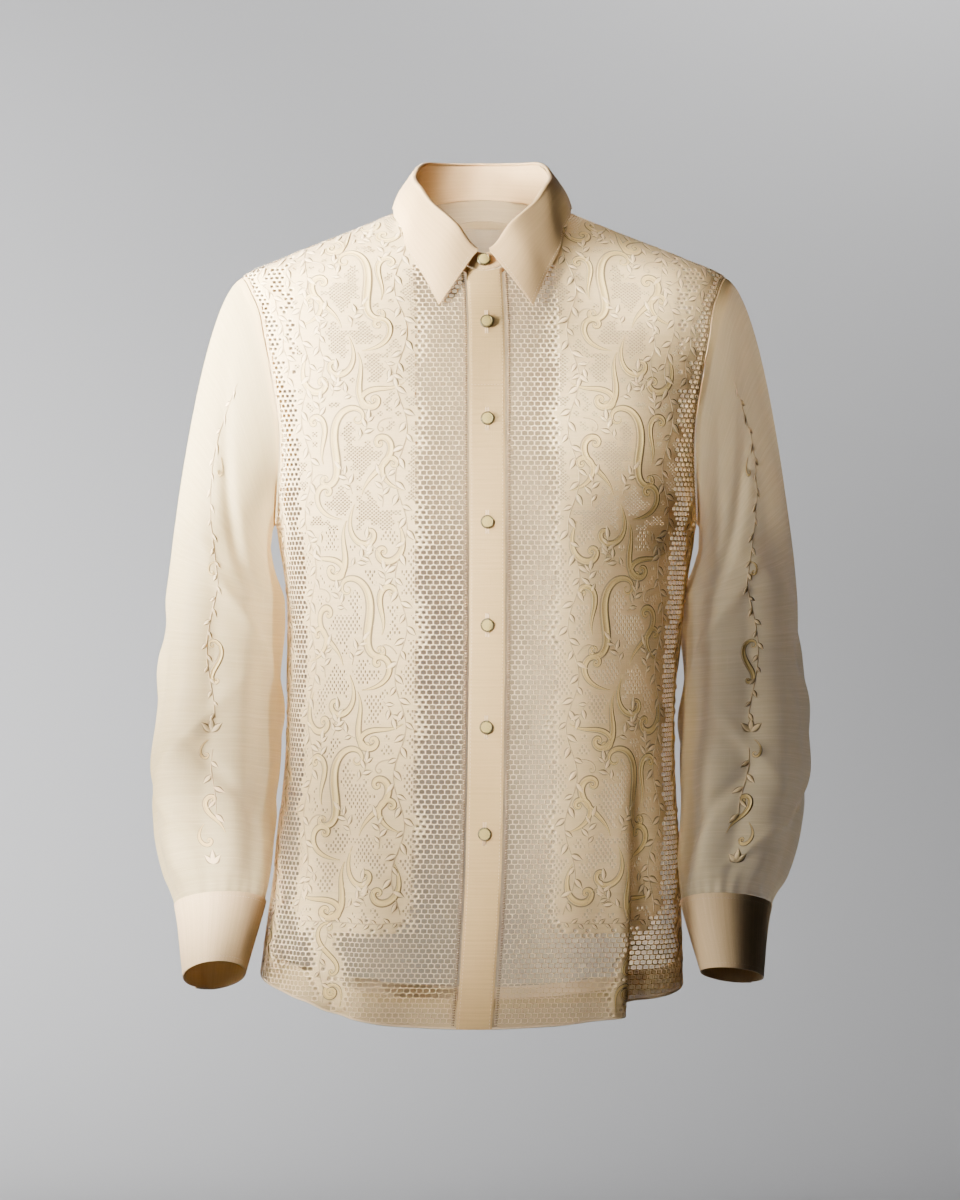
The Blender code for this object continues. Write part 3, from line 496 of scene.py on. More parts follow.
# %% [markdown]
# ## Laying things on cloth
#
# Net, embroidery, bindings and stitches all lie on a panel that is already curved and folded. The simplest
# way is to work flat, as an embroiderer does on a frame, and to carry each flat point onto the panel
# afterwards. A drape is a fine grid of the panel's points whose columns are an even distance apart along
# the cloth and whose rows are an even distance apart down it.


# %% A drape carries flat points onto a panel
class Drape:
    """across and down are the even flat positions of the grid's columns and rows, both rising."""

    def __init__(self, across, down, points, mirror=1.0):
        self.low = np.array([across[0], down[0]])
        self.step = np.array([across[1] - across[0], down[1] - down[0]])
        self.points = points
        self.out = mirror * unit(np.cross(np.gradient(points, axis=1), np.gradient(points, axis=0)))

    def read(self, values, flat):
        """A value of the grid at flat points, blended between the four nearest."""
        place = (np.asarray(flat, float) - self.low) / self.step
        rows, columns = values.shape[:2]
        u = np.clip(place[..., 0], 0, columns - 1.001)
        v = np.clip(place[..., 1], 0, rows - 1.001)
        i, j = u.astype(int), v.astype(int)
        u, v = u - i, v - j
        if values.ndim == 3:
            u, v = u[..., None], v[..., None]
        low = (1 - u) * values[j, i] + u * values[j, i + 1]
        high = (1 - u) * values[j + 1, i] + u * values[j + 1, i + 1]
        return (1 - v) * low + v * high

    def place(self, flat, lift=0.0):
        flat = np.asarray(flat, float)
        lift = np.broadcast_to(np.asarray(lift, float), flat.shape[:-1])
        return self.read(self.points, flat) + lift[..., None] * unit(self.read(self.out, flat))

    def flat_of(self, turns):
        """The flat points of a line of (turn, level), where turn counts out from centre front."""
        turns = np.asarray(turns, float)
        rows, columns = self.turn.shape
        down = self.low[1] + self.step[1] * np.arange(rows)
        across = self.low[0] + self.step[0] * np.arange(columns)
        height = np.interp(turns[:, 1], self.level[:, 0], down)
        place = np.clip((height - down[0]) / self.step[1], 0, rows - 1.001)
        j = place.astype(int)
        share = (place - j)[:, None]
        row = (1 - share) * self.turn[j] + share * self.turn[j + 1]
        out = [np.interp(turn, found, across) for turn, found in zip(turns[:, 0], row)]
        return np.stack([out, height], axis=-1)


DRAPE_STEP = 0.002


def front_drape(side):
    """The drape of one front. Its flat points are the distance out from centre front, and the height."""
    levels = np.linspace(-0.775, SIDE_NECK + 0.004, 262)
    turns = np.linspace(-1.0, 93.0, 251)
    grid = body_point(front_angle(side * turns)[None], levels[:, None])
    run = run_across(grid)
    run -= np.array([np.interp(0.0, turns, row) for row in run])[:, None]
    middle = np.array(
        [[np.interp(0.1, run[k], grid[k, :, c]) for c in range(3)] for k in range(len(levels))]
    )
    height = run_along(middle)
    height += -0.3 - np.interp(-0.3, levels, height)
    across = np.arange(-0.002, 0.35, DRAPE_STEP)
    down = np.arange(height[0], height[-1], DRAPE_STEP)
    turn = np.array([np.interp(across, run[k], turns) for k in range(len(levels))])
    level = np.interp(down, height, levels)
    turn = np.array([np.interp(level, levels, turn[:, c]) for c in range(len(across))]).T
    points = body_point(front_angle(side * turn), level[:, None])
    drape = Drape(across, down, points, side)
    drape.turn = turn
    drape.level = np.repeat(level[:, None], len(across), axis=1)
    drape.side = side
    return drape


fronts = {side: front_drape(side) for side in (-1, 1)}
print("flat height at the neck", round(float(fronts[1].low[1] + 0.002 * len(fronts[1].points)), 3), "m")


# %% Which flat points are on the front
def armhole_depth(level):
    """How far the armhole reaches forward at a level, and 0 above and below it."""
    c = np.clip((level - (SHOULDER + UNDERARM) / 2) / ((SHOULDER - UNDERARM) / 2), -1, 1)
    return ARMHOLE_DEEP * np.sqrt(1 - c * c) * (1 - ARMHOLE_EGG * c)


def on_front(drape, flat, margin):
    """True where a flat point is on the front, at least a margin inside its seams and hem."""
    turn, level = drape.read(drape.turn, flat), drape.read(drape.level, flat)
    forward = -drape.read(drape.points, flat)[..., 1]
    hem = HEM(SIDES[drape.side], turn)
    neck = NECKLINE("level", np.clip(90.0 - turn, 0.0, 90.0))
    return (level > hem + margin) & (forward > armhole_depth(level) + margin) & (level < neck - margin)


def on_hem_band(drape, flat, deep):
    turn, level = drape.read(drape.turn, flat), drape.read(drape.level, flat)
    return level < HEM(SIDES[drape.side], turn) + deep


# %% Mesh helpers
def add_piece(name, points, faces, materials, uv=None, slots=None, sharp=None, corner_uv=None):
    """A mesh object with its place in its vertices. uv gives a flat position in metres to each vertex,
    or corner_uv one to each corner of each face."""
    mesh = bpy.data.meshes.new(name)
    mesh.from_pydata([tuple(p) for p in points], [], faces)
    for material in materials:
        mesh.materials.append(material)
    if slots is not None:
        mesh.polygons.foreach_set("material_index", np.asarray(slots, np.int32))
    if uv is not None:
        corner = np.empty(len(mesh.loops), np.int32)
        mesh.loops.foreach_get("vertex_index", corner)
        corner_uv = np.asarray(uv, np.float32)[corner]
    if corner_uv is not None:
        layer = mesh.uv_layers.new(name="flat")
        layer.data.foreach_set("uv", np.asarray(corner_uv, np.float32).ravel())
    mesh.shade_smooth()
    if sharp is not None:
        mesh.set_sharp_from_angle(angle=math.radians(sharp))
    mesh.update()
    piece = bpy.data.objects.new(name, mesh)
    bpy.context.collection.objects.link(piece)
    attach(piece, "root")
    return piece


def grid_faces(rows, columns, loop=False, first=0):
    """The four-sided faces of a grid of points, counted row by row."""
    last = columns if loop else columns - 1
    r, c = np.meshgrid(np.arange(rows - 1), np.arange(last), indexing="ij")
    n = (c + 1) % columns
    low, high = r * columns, (r + 1) * columns
    faces = np.stack([low + c, low + n, high + n, high + c], axis=-1)
    return faces.reshape(-1, 4) + first


def rim_pairs(rows, columns, loop):
    """The border of a grid as pairs of points, with the grid on their left."""
    r, c = np.arange(rows), np.arange(columns)
    if loop:
        across = np.stack([c, (c + 1) % columns], axis=1)
        return np.concatenate([across, across[:, ::-1] + (rows - 1) * columns])
    across = np.stack([c[:-1], c[1:]], axis=1)
    down = np.stack([r[:-1], r[1:]], axis=1) * columns
    return np.concatenate([across, across[:, ::-1] + (rows - 1) * columns, down[:, ::-1], down + columns - 1])


def cloth_shell(name, outer, inner, flat, materials, loop=False, turn_over=False, sharp=55, slots=None):
    """A closed shell of cloth between an outer and an inner grid. On a loop, flat has one column more."""
    rows, columns = outer.shape[:2]
    below = rows * columns
    top = grid_faces(rows, columns, loop)
    rim = rim_pairs(rows, columns, loop)
    walls = np.stack([rim[:, 1], rim[:, 0], rim[:, 0] + below, rim[:, 1] + below], axis=1)
    wide = flat.shape[1]
    place = grid_faces(rows, wide)
    on_rim = rim_pairs(rows, wide, False)
    if loop:
        on_rim = on_rim[: 2 * (wide - 1)]
    faces = np.concatenate([top, top[:, ::-1] + below, walls])
    places = np.concatenate([place, place[:, ::-1], on_rim[:, [1, 0, 0, 1]]])
    if turn_over:
        faces, places = faces[:, ::-1], places[:, ::-1]
    points = np.concatenate([outer.reshape(-1, 3), inner.reshape(-1, 3)])
    corner_uv = flat.reshape(-1, 2)[places.ravel()]
    return add_piece(name, points, faces.tolist(), materials, sharp=sharp, corner_uv=corner_uv, slots=slots)


def cloth_sheet(name, grid, flat, materials, loop=False, turn_over=False, slots=None):
    """A single sheet of sheer cloth. On a loop, flat has one column more than the grid."""
    faces, places = grid_faces(*grid.shape[:2], loop), grid_faces(*flat.shape[:2])
    if turn_over:
        faces, places = faces[:, ::-1], places[:, ::-1]
    corner_uv = flat.reshape(-1, 2)[places.ravel()]
    return add_piece(name, grid.reshape(-1, 3), faces.tolist(), materials, corner_uv=corner_uv, slots=slots)


def grid_out(grid, loop=False):
    """Directions square to a grid."""
    if loop:
        wide = np.concatenate([grid[:, -1:], grid, grid[:, :1]], axis=1)
        return unit(np.cross(np.gradient(wide, axis=1)[:, 1:-1], np.gradient(grid, axis=0)))
    return unit(np.cross(np.gradient(grid, axis=1), np.gradient(grid, axis=0)))


def cut_area(grid, loop=False):
    """The area of a grid of points."""
    faces = grid_faces(*grid.shape[:2], loop)
    p = grid.reshape(-1, 3)[faces]
    return float(np.linalg.norm(np.cross(p[:, 2] - p[:, 0], p[:, 3] - p[:, 1]), axis=1).sum() / 2)


# %% [markdown]
# ## Finishes
#
# All the cloth is one family: cream threads of pineapple or banana fibre, with slubs where a thread
# thickens. One group of nodes makes those threads, and each cloth uses it with its own thread pitch and
# slubs: the sheer cloth lets light through between its threads, the plain cloth is dense. The patterns
# read each piece's own flat map, which is in metres, so a thread has its real width everywhere.


# %% The thread group
def socket(tree, name, way, kind, default=None):
    made = tree.interface.new_socket(name=name, in_out=way, socket_type=kind)
    if default is not None:
        made.default_value = default
    return made


def math_node(tree, operation, first, second=None, third=None, clamp=False):
    """A Math node whose inputs are links or numbers."""
    node = tree.nodes.new("ShaderNodeMath")
    node.operation, node.use_clamp = operation, clamp
    for k, value in enumerate((first, second, third)):
        if value is None:
            continue
        if isinstance(value, (int, float)):
            node.inputs[k].default_value = value
        else:
            tree.links.new(value, node.inputs[k])
    return node.outputs[0]


def noise_node(tree, place, stretch, detail=2.0, roughness=0.5):
    """Noise on a place that is stretched by three factors."""
    mapping = tree.nodes.new("ShaderNodeMapping")
    mapping.inputs["Scale"].default_value = stretch
    tree.links.new(place, mapping.inputs["Vector"])
    noise = tree.nodes.new("ShaderNodeTexNoise")
    noise.inputs["Scale"].default_value = 1.0
    noise.inputs["Detail"].default_value = detail
    noise.inputs["Roughness"].default_value = roughness
    tree.links.new(mapping.outputs["Vector"], noise.inputs["Vector"])
    return noise.outputs["Fac"]


def range_node(tree, value, low, high, to_low=0.0, to_high=1.0):
    node = tree.nodes.new("ShaderNodeMapRange")
    for name, number in (("From Min", low), ("From Max", high), ("To Min", to_low), ("To Max", to_high)):
        node.inputs[name].default_value = number
    tree.links.new(value, node.inputs["Value"])
    return node.outputs["Result"]


def make_thread_group():
    """Woven threads with slubs. Place is in metres; the pitches are the spacing of the threads."""
    tree = bpy.data.node_groups.new("woven threads", "ShaderNodeTree")
    new, link = tree.nodes.new, tree.links.new
    socket(tree, "Place", "INPUT", "NodeSocketVector")
    for name, default in (("Warps per metre", 900.0), ("Wefts per metre", 900.0), ("Slubs", 0.5)):
        socket(tree, name, "INPUT", "NodeSocketFloat", default)
    for name in ("Height", "Cover", "Shade"):
        socket(tree, name, "OUTPUT", "NodeSocketFloat")
    start, end = new("NodeGroupInput"), new("NodeGroupOutput")
    place = start.outputs["Place"]
    wander = noise_node(tree, place, (90.0, 90.0, 1.0), 1.0)
    split = new("ShaderNodeSeparateXYZ")
    link(place, split.inputs[0])
    sway = math_node(tree, "MULTIPLY", math_node(tree, "SUBTRACT", wander, 0.5), 0.0016)
    lines = []
    for axis, count in (("X", "Warps per metre"), ("Y", "Wefts per metre")):
        at = math_node(tree, "ADD", split.outputs[axis], sway)
        turns = math_node(tree, "MULTIPLY", math_node(tree, "MULTIPLY", at, start.outputs[count]), math.tau)
        lines.append(math_node(tree, "MULTIPLY_ADD", math_node(tree, "SINE", turns), 0.5, 0.5))
    threads = math_node(tree, "MAXIMUM", *lines)
    weft_slub = range_node(tree, noise_node(tree, place, (26.0, 1500.0, 1.0), 2.0), 0.54, 0.72)
    warp_slub = range_node(tree, noise_node(tree, place, (1300.0, 18.0, 1.0), 2.0), 0.58, 0.74)
    slub = math_node(tree, "MAXIMUM", weft_slub, math_node(tree, "MULTIPLY", warp_slub, 0.6))
    slub = math_node(tree, "MULTIPLY", slub, start.outputs["Slubs"])
    bars = range_node(tree, noise_node(tree, place, (4.0, 420.0, 1.0), 3.0, 0.6), 0.3, 0.7)
    cloud = noise_node(tree, place, (9.0, 7.0, 1.0), 2.0)
    height = math_node(tree, "ADD", math_node(tree, "MULTIPLY", threads, 0.5), slub)
    cover = math_node(tree, "MULTIPLY_ADD", threads, 0.45, slub)
    cover = math_node(tree, "ADD", cover, math_node(tree, "MULTIPLY", bars, 0.16))
    shades = [math_node(tree, "MULTIPLY", value, share) for value, share in ((bars, 0.45), (cloud, 0.5))]
    shade = math_node(tree, "ADD", *shades)
    for name, value in (("Height", height), ("Cover", cover), ("Shade", shade)):
        link(value, end.inputs[name])
    return tree


thread_group = make_thread_group()
print("thread group:", [s.name for s in thread_group.interface.items_tree])


# %% The cloths
def blend_colour(tree, factor, first, second):
    node = tree.nodes.new("ShaderNodeMix")
    node.data_type = "RGBA"
    tree.links.new(factor, node.inputs["Factor"])
    node.inputs["A"].default_value = (*first, 1)
    node.inputs["B"].default_value = (*second, 1)
    return node.outputs["Result"]


def cloth_material(
    name, dark, light, warps, wefts, slubs, bump, roughness, sheen=0.15, see=None, through=0.0
):
    """Woven cloth. see = (least, most) cover gives sheer cloth its alpha; through is the share of light
    that passes into the cloth and out at its other face."""
    material = bpy.data.materials.new(name)
    material.use_nodes = True
    tree = material.node_tree
    new, link = tree.nodes.new, tree.links.new
    shader = tree.nodes["Principled BSDF"]
    where = new("ShaderNodeUVMap")
    where.uv_map = "flat"
    threads = new("ShaderNodeGroup")
    threads.node_tree = thread_group
    link(where.outputs["UV"], threads.inputs["Place"])
    for socket_name, value in (("Warps per metre", warps), ("Wefts per metre", wefts), ("Slubs", slubs)):
        threads.inputs[socket_name].default_value = value
    colour = blend_colour(tree, threads.outputs["Shade"], dark, light)
    link(colour, shader.inputs["Base Color"])
    relief = new("ShaderNodeBump")
    relief.inputs["Strength"].default_value = 1.0
    relief.inputs["Distance"].default_value = bump
    link(threads.outputs["Height"], relief.inputs["Height"])
    link(relief.outputs["Normal"], shader.inputs["Normal"])
    finish = {
        "Roughness": roughness, "Sheen Weight": sheen, "Sheen Roughness": 0.4, "Specular IOR Level": 0.3
    }
    for socket_name, value in finish.items():
        shader.inputs[socket_name].default_value = value
    if see:
        alpha = range_node(tree, threads.outputs["Cover"], 0.15, 1.0, *see)
        link(alpha, shader.inputs["Alpha"])
    if through:
        glow = new("ShaderNodeBsdfTranslucent")
        link(colour, glow.inputs["Color"])
        surface = glow.outputs[0]
        if see:
            clear = new("ShaderNodeBsdfTransparent")
            veil = new("ShaderNodeMixShader")
            link(alpha, veil.inputs["Fac"])
            link(clear.outputs[0], veil.inputs[1])
            link(surface, veil.inputs[2])
            surface = veil.outputs[0]
        blend = new("ShaderNodeMixShader")
        blend.inputs["Fac"].default_value = through
        link(shader.outputs[0], blend.inputs[1])
        link(surface, blend.inputs[2])
        link(blend.outputs[0], tree.nodes["Material Output"].inputs["Surface"])
    return material


# name, darkest and lightest colour, warps and wefts per metre, slubs, relief in metres, roughness, sheen,
# the least and most alpha of a sheer cloth, and the share of light that passes into it
CLOTHS = (
    (
        "jusi_sheer", (0.77, 0.58, 0.275), (0.87, 0.69, 0.36), 1500, 1500, 0.45, 6e-5, 0.55, 0.1,
        (0.56, 0.76), 0.3
    ),
    ("plain_ecru", (0.62, 0.39, 0.165), (0.8, 0.53, 0.25), 1100, 1300, 0.9, 9e-5, 0.6, 0.15, None, 0.1),
    ("net_thread", (0.88, 0.66, 0.35), (0.97, 0.765, 0.44), 2200, 2200, 0.2, 12e-5, 0.6, 0.15, None, 0.18),
    (
        "embroidered_ground", (0.8, 0.58, 0.275), (0.89, 0.665, 0.35), 1300, 1300, 0.5, 12e-5, 0.6, 0.15,
        (0.8, 1.0), 0.2
    ),
    ("ribbon_satin", (0.71, 0.49, 0.175), (0.8, 0.57, 0.235), 2600, 700, 0.15, 14e-5, 0.45, 0.3, None, 0.08),
    ("leaf_silk", (0.82, 0.6, 0.3), (0.9, 0.67, 0.37), 700, 2600, 0.1, 14e-5, 0.4, 0.3, None, 0.08),
    ("stem_silk", (0.5, 0.35, 0.17), (0.64, 0.45, 0.23), 900, 2600, 0.1, 14e-5, 0.5, 0.2, None, 0.05),
    # The outline colour is dark: partly a brown outline thread, partly painted shade at the foot of the
    # raised stitching.
    ("outline_and_foot_shade", (0.22, 0.15, 0.065), (0.31, 0.215, 0.1), 900, 2600, 0.1, 12e-5, 0.5, 0.2, None, 0.06),
    # The back's cloth is coloured much darker than the sleeves' jusi: painted shade of the shirt's inside,
    # seen through the net's holes.
    (
        "jusi_back_painted_shade", (0.52, 0.37, 0.17), (0.64, 0.465, 0.235), 1500, 1500, 0.5, 1e-4, 0.55, 0.1,
        (0.7, 0.88), 0.35
    ),
    # The yoke's cloth is darker still: painted shade inside the back of the neck, where the yoke is seen past
    # the neck band and through the net.
    (
        "jusi_yoke_painted_shade", (0.46, 0.33, 0.17), (0.57, 0.42, 0.225), 1500, 1500, 0.6, 1e-4, 0.55, 0.1,
        (0.84, 1.0), 0.2
    ),
    (
        "front_band_cloth", (0.52, 0.33, 0.12), (0.73, 0.475, 0.195), 1000, 1300, 1.6, 12e-5, 0.6, 0.15,
        None, 0.1
    ),
    ("cuff_ecru", (0.64, 0.43, 0.205), (0.88, 0.62, 0.34), 1300, 1000, 1.6, 9e-5, 0.6, 0.15, None, 0.1),
    ("stitch_thread", (0.8, 0.58, 0.33), (0.88, 0.66, 0.39), 900, 2600, 0.1, 1e-4, 0.5, 0.2),
)
jusi, plain, net_thread, ground, ribbon_satin, leaf_silk, stem_silk, *more_cloths = (
    cloth_material(*row) for row in CLOTHS
)
outline_and_foot_shade, back_cloth_painted_shade, yoke_cloth_painted_shade, band_cloth, cuff_cloth, stitch_thread = more_cloths
print("cloths:", [m.name for m in (jusi, plain, net_thread, ground, ribbon_satin, leaf_silk, stem_silk)])


# %% The netted ground's windows
def make_window_material(name, slanting, least, most):
    """Cloth drawn into a finer net than the cells: slanting threads 4.2 mm apart, or rows of small bricks
    4.4 mm wide and 3.3 mm high. Below least it is a hole, above most a thread."""
    material = cloth_material(
        name, (0.78, 0.565, 0.28), (0.87, 0.665, 0.37), 1300, 1300, 0.3, 0.00012, 0.6, 0.15, (0.9, 1.0), 0.2
    )
    tree = material.node_tree
    new, link = tree.nodes.new, tree.links.new
    where = next(n for n in tree.nodes if n.bl_idname == "ShaderNodeUVMap")
    split = new("ShaderNodeSeparateXYZ")
    link(where.outputs["UV"], split.inputs[0])
    x, y = split.outputs["X"], split.outputs["Y"]
    if slanting:
        waves = []
        for sign in (1.0, -1.0):
            slant = math_node(tree, "MULTIPLY_ADD", y, sign * 1.25, x)
            waves.append(math_node(tree, "SINE", math_node(tree, "MULTIPLY", slant, math.tau / 0.0042)))
        thread = math_node(tree, "MAXIMUM", *waves)
    else:
        across = math_node(tree, "COSINE", math_node(tree, "MULTIPLY", x, math.tau / 0.0044))
        down = math_node(tree, "COSINE", math_node(tree, "MULTIPLY", y, math.pi / 0.0033))
        thread = math_node(tree, "MULTIPLY", across, down)
    solid = range_node(tree, thread, least, most)
    veil = new("ShaderNodeMixShader")
    clear = new("ShaderNodeBsdfTransparent")
    output = tree.nodes["Material Output"].inputs["Surface"]
    before = output.links[0].from_socket
    link(solid, veil.inputs["Fac"])
    link(clear.outputs[0], veil.inputs[1])
    link(before, veil.inputs[2])
    link(veil.outputs[0], output)
    relief = next(n for n in tree.nodes if n.bl_idname == "ShaderNodeBump")
    height = math_node(tree, "MULTIPLY_ADD", thread, 2.0, relief.inputs["Height"].links[0].from_socket)
    link(height, relief.inputs["Height"])
    return material


lattice = make_window_material("lattice", True, 0.3, 0.62)
bricks = make_window_material("fine_bricks", False, -0.46, -0.2)
print("windows: lattice pitch 4.2 mm, bricks 4.4 by 3.3 mm")


# %% [markdown]
# ## Embroidery
#
# The fronts carry scrolls of flat ribbon stitching with a corded outline, sprays of small raised leaves
# and fine stems. Each is drawn flat, in millimetres, as a line that turns: a table gives how many degrees
# it turns for each millimetre, so a tight curl opens into a long sweep. The drawing is then carried onto
# the cloth.


# %% Lines that turn
def turning_line(start, heading, bends, size=1.0, flip=1.0, step=1.5):
    """Points 1.5 mm apart along a line that leaves start at a heading and turns as its bends say."""
    bends = np.array(bends, float)
    length = bends[-1, 0]
    at = np.linspace(0.0, length, max(4, int(round(length * size / step))) + 1)
    rate = np.interp(at, bends[:, 0], bends[:, 1])
    turn = np.concatenate([[0.0], np.cumsum((rate[1:] + rate[:-1]) / 2 * np.diff(at))])
    angle = np.radians(heading + flip * turn)
    middle = (angle[1:] + angle[:-1]) / 2
    move = np.diff(at)[:, None] * np.stack([np.cos(middle), np.sin(middle)], axis=1) * size
    return np.array(start, float) + np.concatenate([[[0.0, 0.0]], np.cumsum(move, axis=0)])


SCROLLS = {
    "wave": ((0, 30), (8, 17), (22, 6), (42, 1), (62, -0.6), (84, -2), (108, -4.2), (128, -11), (140, -24)),
    "hook": ((0, 32), (8, 18), (20, 7.5), (44, 2.4), (70, -0.8), (92, -2.2)),
    "crook": ((0, 34), (7, 20), (18, 8), (34, 4.2), (56, 2.0), (72, 0.5)),
    "curl": ((0, 40), (5, 24), (13, 10), (24, 4), (34, 1)),
    "spiral": ((0, 36), (10, 22), (28, 11), (58, 6.5), (90, 4.0), (112, 1.0), (136, -1.5)),
}


def placed(shape, across, height, turn, size=1.0, flip=1.0):
    """A scroll with its middle at (across, height) and its two ends in line with turn degrees."""
    line = turning_line((0.0, 0.0), 0.0, SCROLLS[shape], size, flip)
    chord = line[-1] - line[0]
    swing = math.radians(turn) - math.atan2(chord[1], chord[0])
    c, s = math.cos(swing), math.sin(swing)
    line = line @ np.array([[c, s], [-s, c]])
    return line - (line.min(axis=0) + line.max(axis=0)) / 2 + (across, height)


def wavy(across, top, bottom, swing, length, phase=0.0):
    """A stem that sways to both sides as it runs down."""
    height = np.arange(top, bottom, -1.5)
    return np.stack([across + swing * np.sin(math.tau * (height / length + phase)), height], axis=1)


def leaves_along(line, first, gap, size, spread=48.0):
    """Leaves (base, heading, length) to both sides of a stem, in turn."""
    run = run_along(line)
    found = []
    for k, at in enumerate(np.arange(first, run[-1] - 1.0, gap)):
        base, ahead = (np.array([np.interp(a, run, line[:, k]) for k in (0, 1)]) for a in (at, at + 1))
        heading = math.degrees(math.atan2(*(ahead - base)[::-1]))
        side = 1 if k % 2 else -1
        found.append((base, heading + side * spread, size * (1.0 if k % 3 else 0.82)))
    return found


print("a wave scroll is", [round(float(v)) for v in np.ptp(placed("wave", 0, 0, 62), axis=0)], "mm")


# %% Raised stitching
RIBBON_ACROSS = (-1.0, -0.66, -0.54, -0.42, 0.0, 0.42, 0.54, 0.66, 1.0)
RIBBON_RISE = (0.0, 0.35, 0.95, 0.32, 0.6, 0.32, 0.95, 0.35, 0.0)
LEAF_ACROSS, LEAF_RISE = (-1.0, -0.58, -0.34, 0.0, 0.34, 0.58, 1.0), (0.0, 0.55, 1.3, 0.75, 1.3, 0.55, 0.0)
CORD_ACROSS, CORD_RISE = (-1.0, -0.5, 0.5, 1.0), (0.0, 0.7, 0.7, 0.0)
RIBBON, LEAF, STEM, OUTLINE_AND_SHADE = 0, 1, 2, 3
# The outermost strip of each ribbon and leaf, at its foot, takes the dark outline colour: partly a brown
# outline thread, partly painted shade where the raised stitching meets the cloth.
RIBBON_SLOTS = (OUTLINE_AND_SHADE, RIBBON, RIBBON, RIBBON, RIBBON, RIBBON, RIBBON, OUTLINE_AND_SHADE)
LEAF_SLOTS = (OUTLINE_AND_SHADE, LEAF, LEAF, LEAF, LEAF, OUTLINE_AND_SHADE)


class Embroidery:
    """Raised stitching drawn flat in millimetres. All of it is one mesh when it is laid on a drape."""

    def __init__(self, inside):
        self.inside, self.parts, self.marks = inside, [], []

    def longest_run(self, line):
        """The longest stretch of a line that lies on the panel, or None."""
        kept = self.inside(line)
        best, start = None, None
        for k, ok in enumerate([*kept, False]):
            if ok and start is None:
                start = k
            if not ok and start is not None:
                if best is None or k - start > best[1] - best[0]:
                    best = (start, k)
                start = None
        return None if best is None or best[1] - best[0] < 5 else line[best[0] : best[1]]

    def sweep(self, line, half, across, rise, slot, along_first=True):
        """Lays a cross-section along a line. half is half the width at each point of the line."""
        ahead = np.gradient(line, axis=0)
        ahead /= np.maximum(np.linalg.norm(ahead, axis=1, keepdims=True), 1e-9)
        square = np.stack([ahead[:, 1], -ahead[:, 0]], axis=1)
        flat = line[:, None] + half[:, None, None] * np.array(across)[None, :, None] * square[:, None]
        lift = np.array(rise)[None] * np.clip(half / half.max(), 0.45, 1.0)[:, None]
        place = np.broadcast_to(run_along(line)[:, None], lift.shape)
        width = half[:, None] * np.array(across)[None]
        uv = np.stack([place, width] if along_first else [width, place], axis=-1)
        self.parts.append((flat, lift, uv, slot))
        self.marks.append(flat[:, [0, len(across) // 2, -1]].reshape(-1, 2))

    def ribbon(self, line, width):
        line = self.longest_run(line)
        if line is not None:
            share = run_along(line) / run_along(line)[-1]
            shape = np.clip(np.sin(math.pi * share**0.75), 0.0, 1.0) ** 0.75
            step = np.gradient(line, axis=0)
            turn = np.abs(np.gradient(np.unwrap(np.arctan2(step[:, 1], step[:, 0]))))
            bend_radius = np.linalg.norm(step, axis=1) / np.maximum(turn, 1e-3)
            half = np.clip(np.minimum(width / 2 * shape, 0.8 * bend_radius), 0.55, None)
            self.sweep(line, half, RIBBON_ACROSS, RIBBON_RISE, RIBBON_SLOTS)

    def stem(self, line, width=0.9):
        line = self.longest_run(line)
        if line is not None:
            self.sweep(
                line, np.full(len(line), width / 2), CORD_ACROSS, np.array(CORD_RISE) * width * 0.55, STEM
            )

    def leaf(self, base, heading, length, slot=LEAF_SLOTS, plump=1.2):
        ahead = np.array([math.cos(math.radians(heading)), math.sin(math.radians(heading))])
        share = np.linspace(0.0, 1.0, 7)
        line = np.array(base) + share[:, None] * length * ahead
        if self.inside(line[[0, -1]]).all():
            half = 0.22 * plump * length * np.clip(np.sin(math.pi * share**0.8), 0.06, 1.0)
            self.sweep(line, half, LEAF_ACROSS, LEAF_RISE, slot, along_first=False)

    def leaves(self, found):
        for base, heading, length in found:
            self.leaf(base, heading, length)

    def spray(self, across, height, heading, length, leaves, bend):
        """A short curved stem with leaves on both sides and one at its tip."""
        line = turning_line((across, height), heading, ((0, bend), (length, bend)))
        self.stem(line, 0.8)
        self.leaves(leaves_along(line, length * 0.18, length / leaves, 10.5, 44.0))
        tip = line[-1] - line[-2]
        self.leaf(line[-1], math.degrees(math.atan2(tip[1], tip[0])), 11.5)

    def flower(self, across, height, heading, size):
        for petal in (-50.0, 0.0, 50.0):
            self.leaf((across, height), heading + petal, size, plump=1.3)

    def build(self, name, drape, base, materials, mirror):
        """Carries the drawing onto a drape. base is how far its foot stands off the drape's points."""
        points, uv, faces, slots, count = [], [], [], [], 0
        for flat, lift, place, slot in self.parts:
            found = grid_faces(*lift.shape, first=count)
            faces.append(found if mirror > 0 else found[:, ::-1])
            columns = lift.shape[1] - 1
            slots.append(np.resize(slot, columns * (lift.shape[0] - 1)))
            points.append(drape.place(flat * 0.001, base + lift * 0.001).reshape(-1, 3))
            uv.append(place.reshape(-1, 2) * 0.001)
            count += lift.size
        faces, slots = np.concatenate(faces), np.concatenate(slots)
        return add_piece(name, np.concatenate(points), faces.tolist(), materials, np.concatenate(uv), slots)


print(
    "profiles: ribbon", len(RIBBON_ACROSS), "points, leaf", len(LEAF_ACROSS), "points, cord", len(CORD_ACROSS)
)


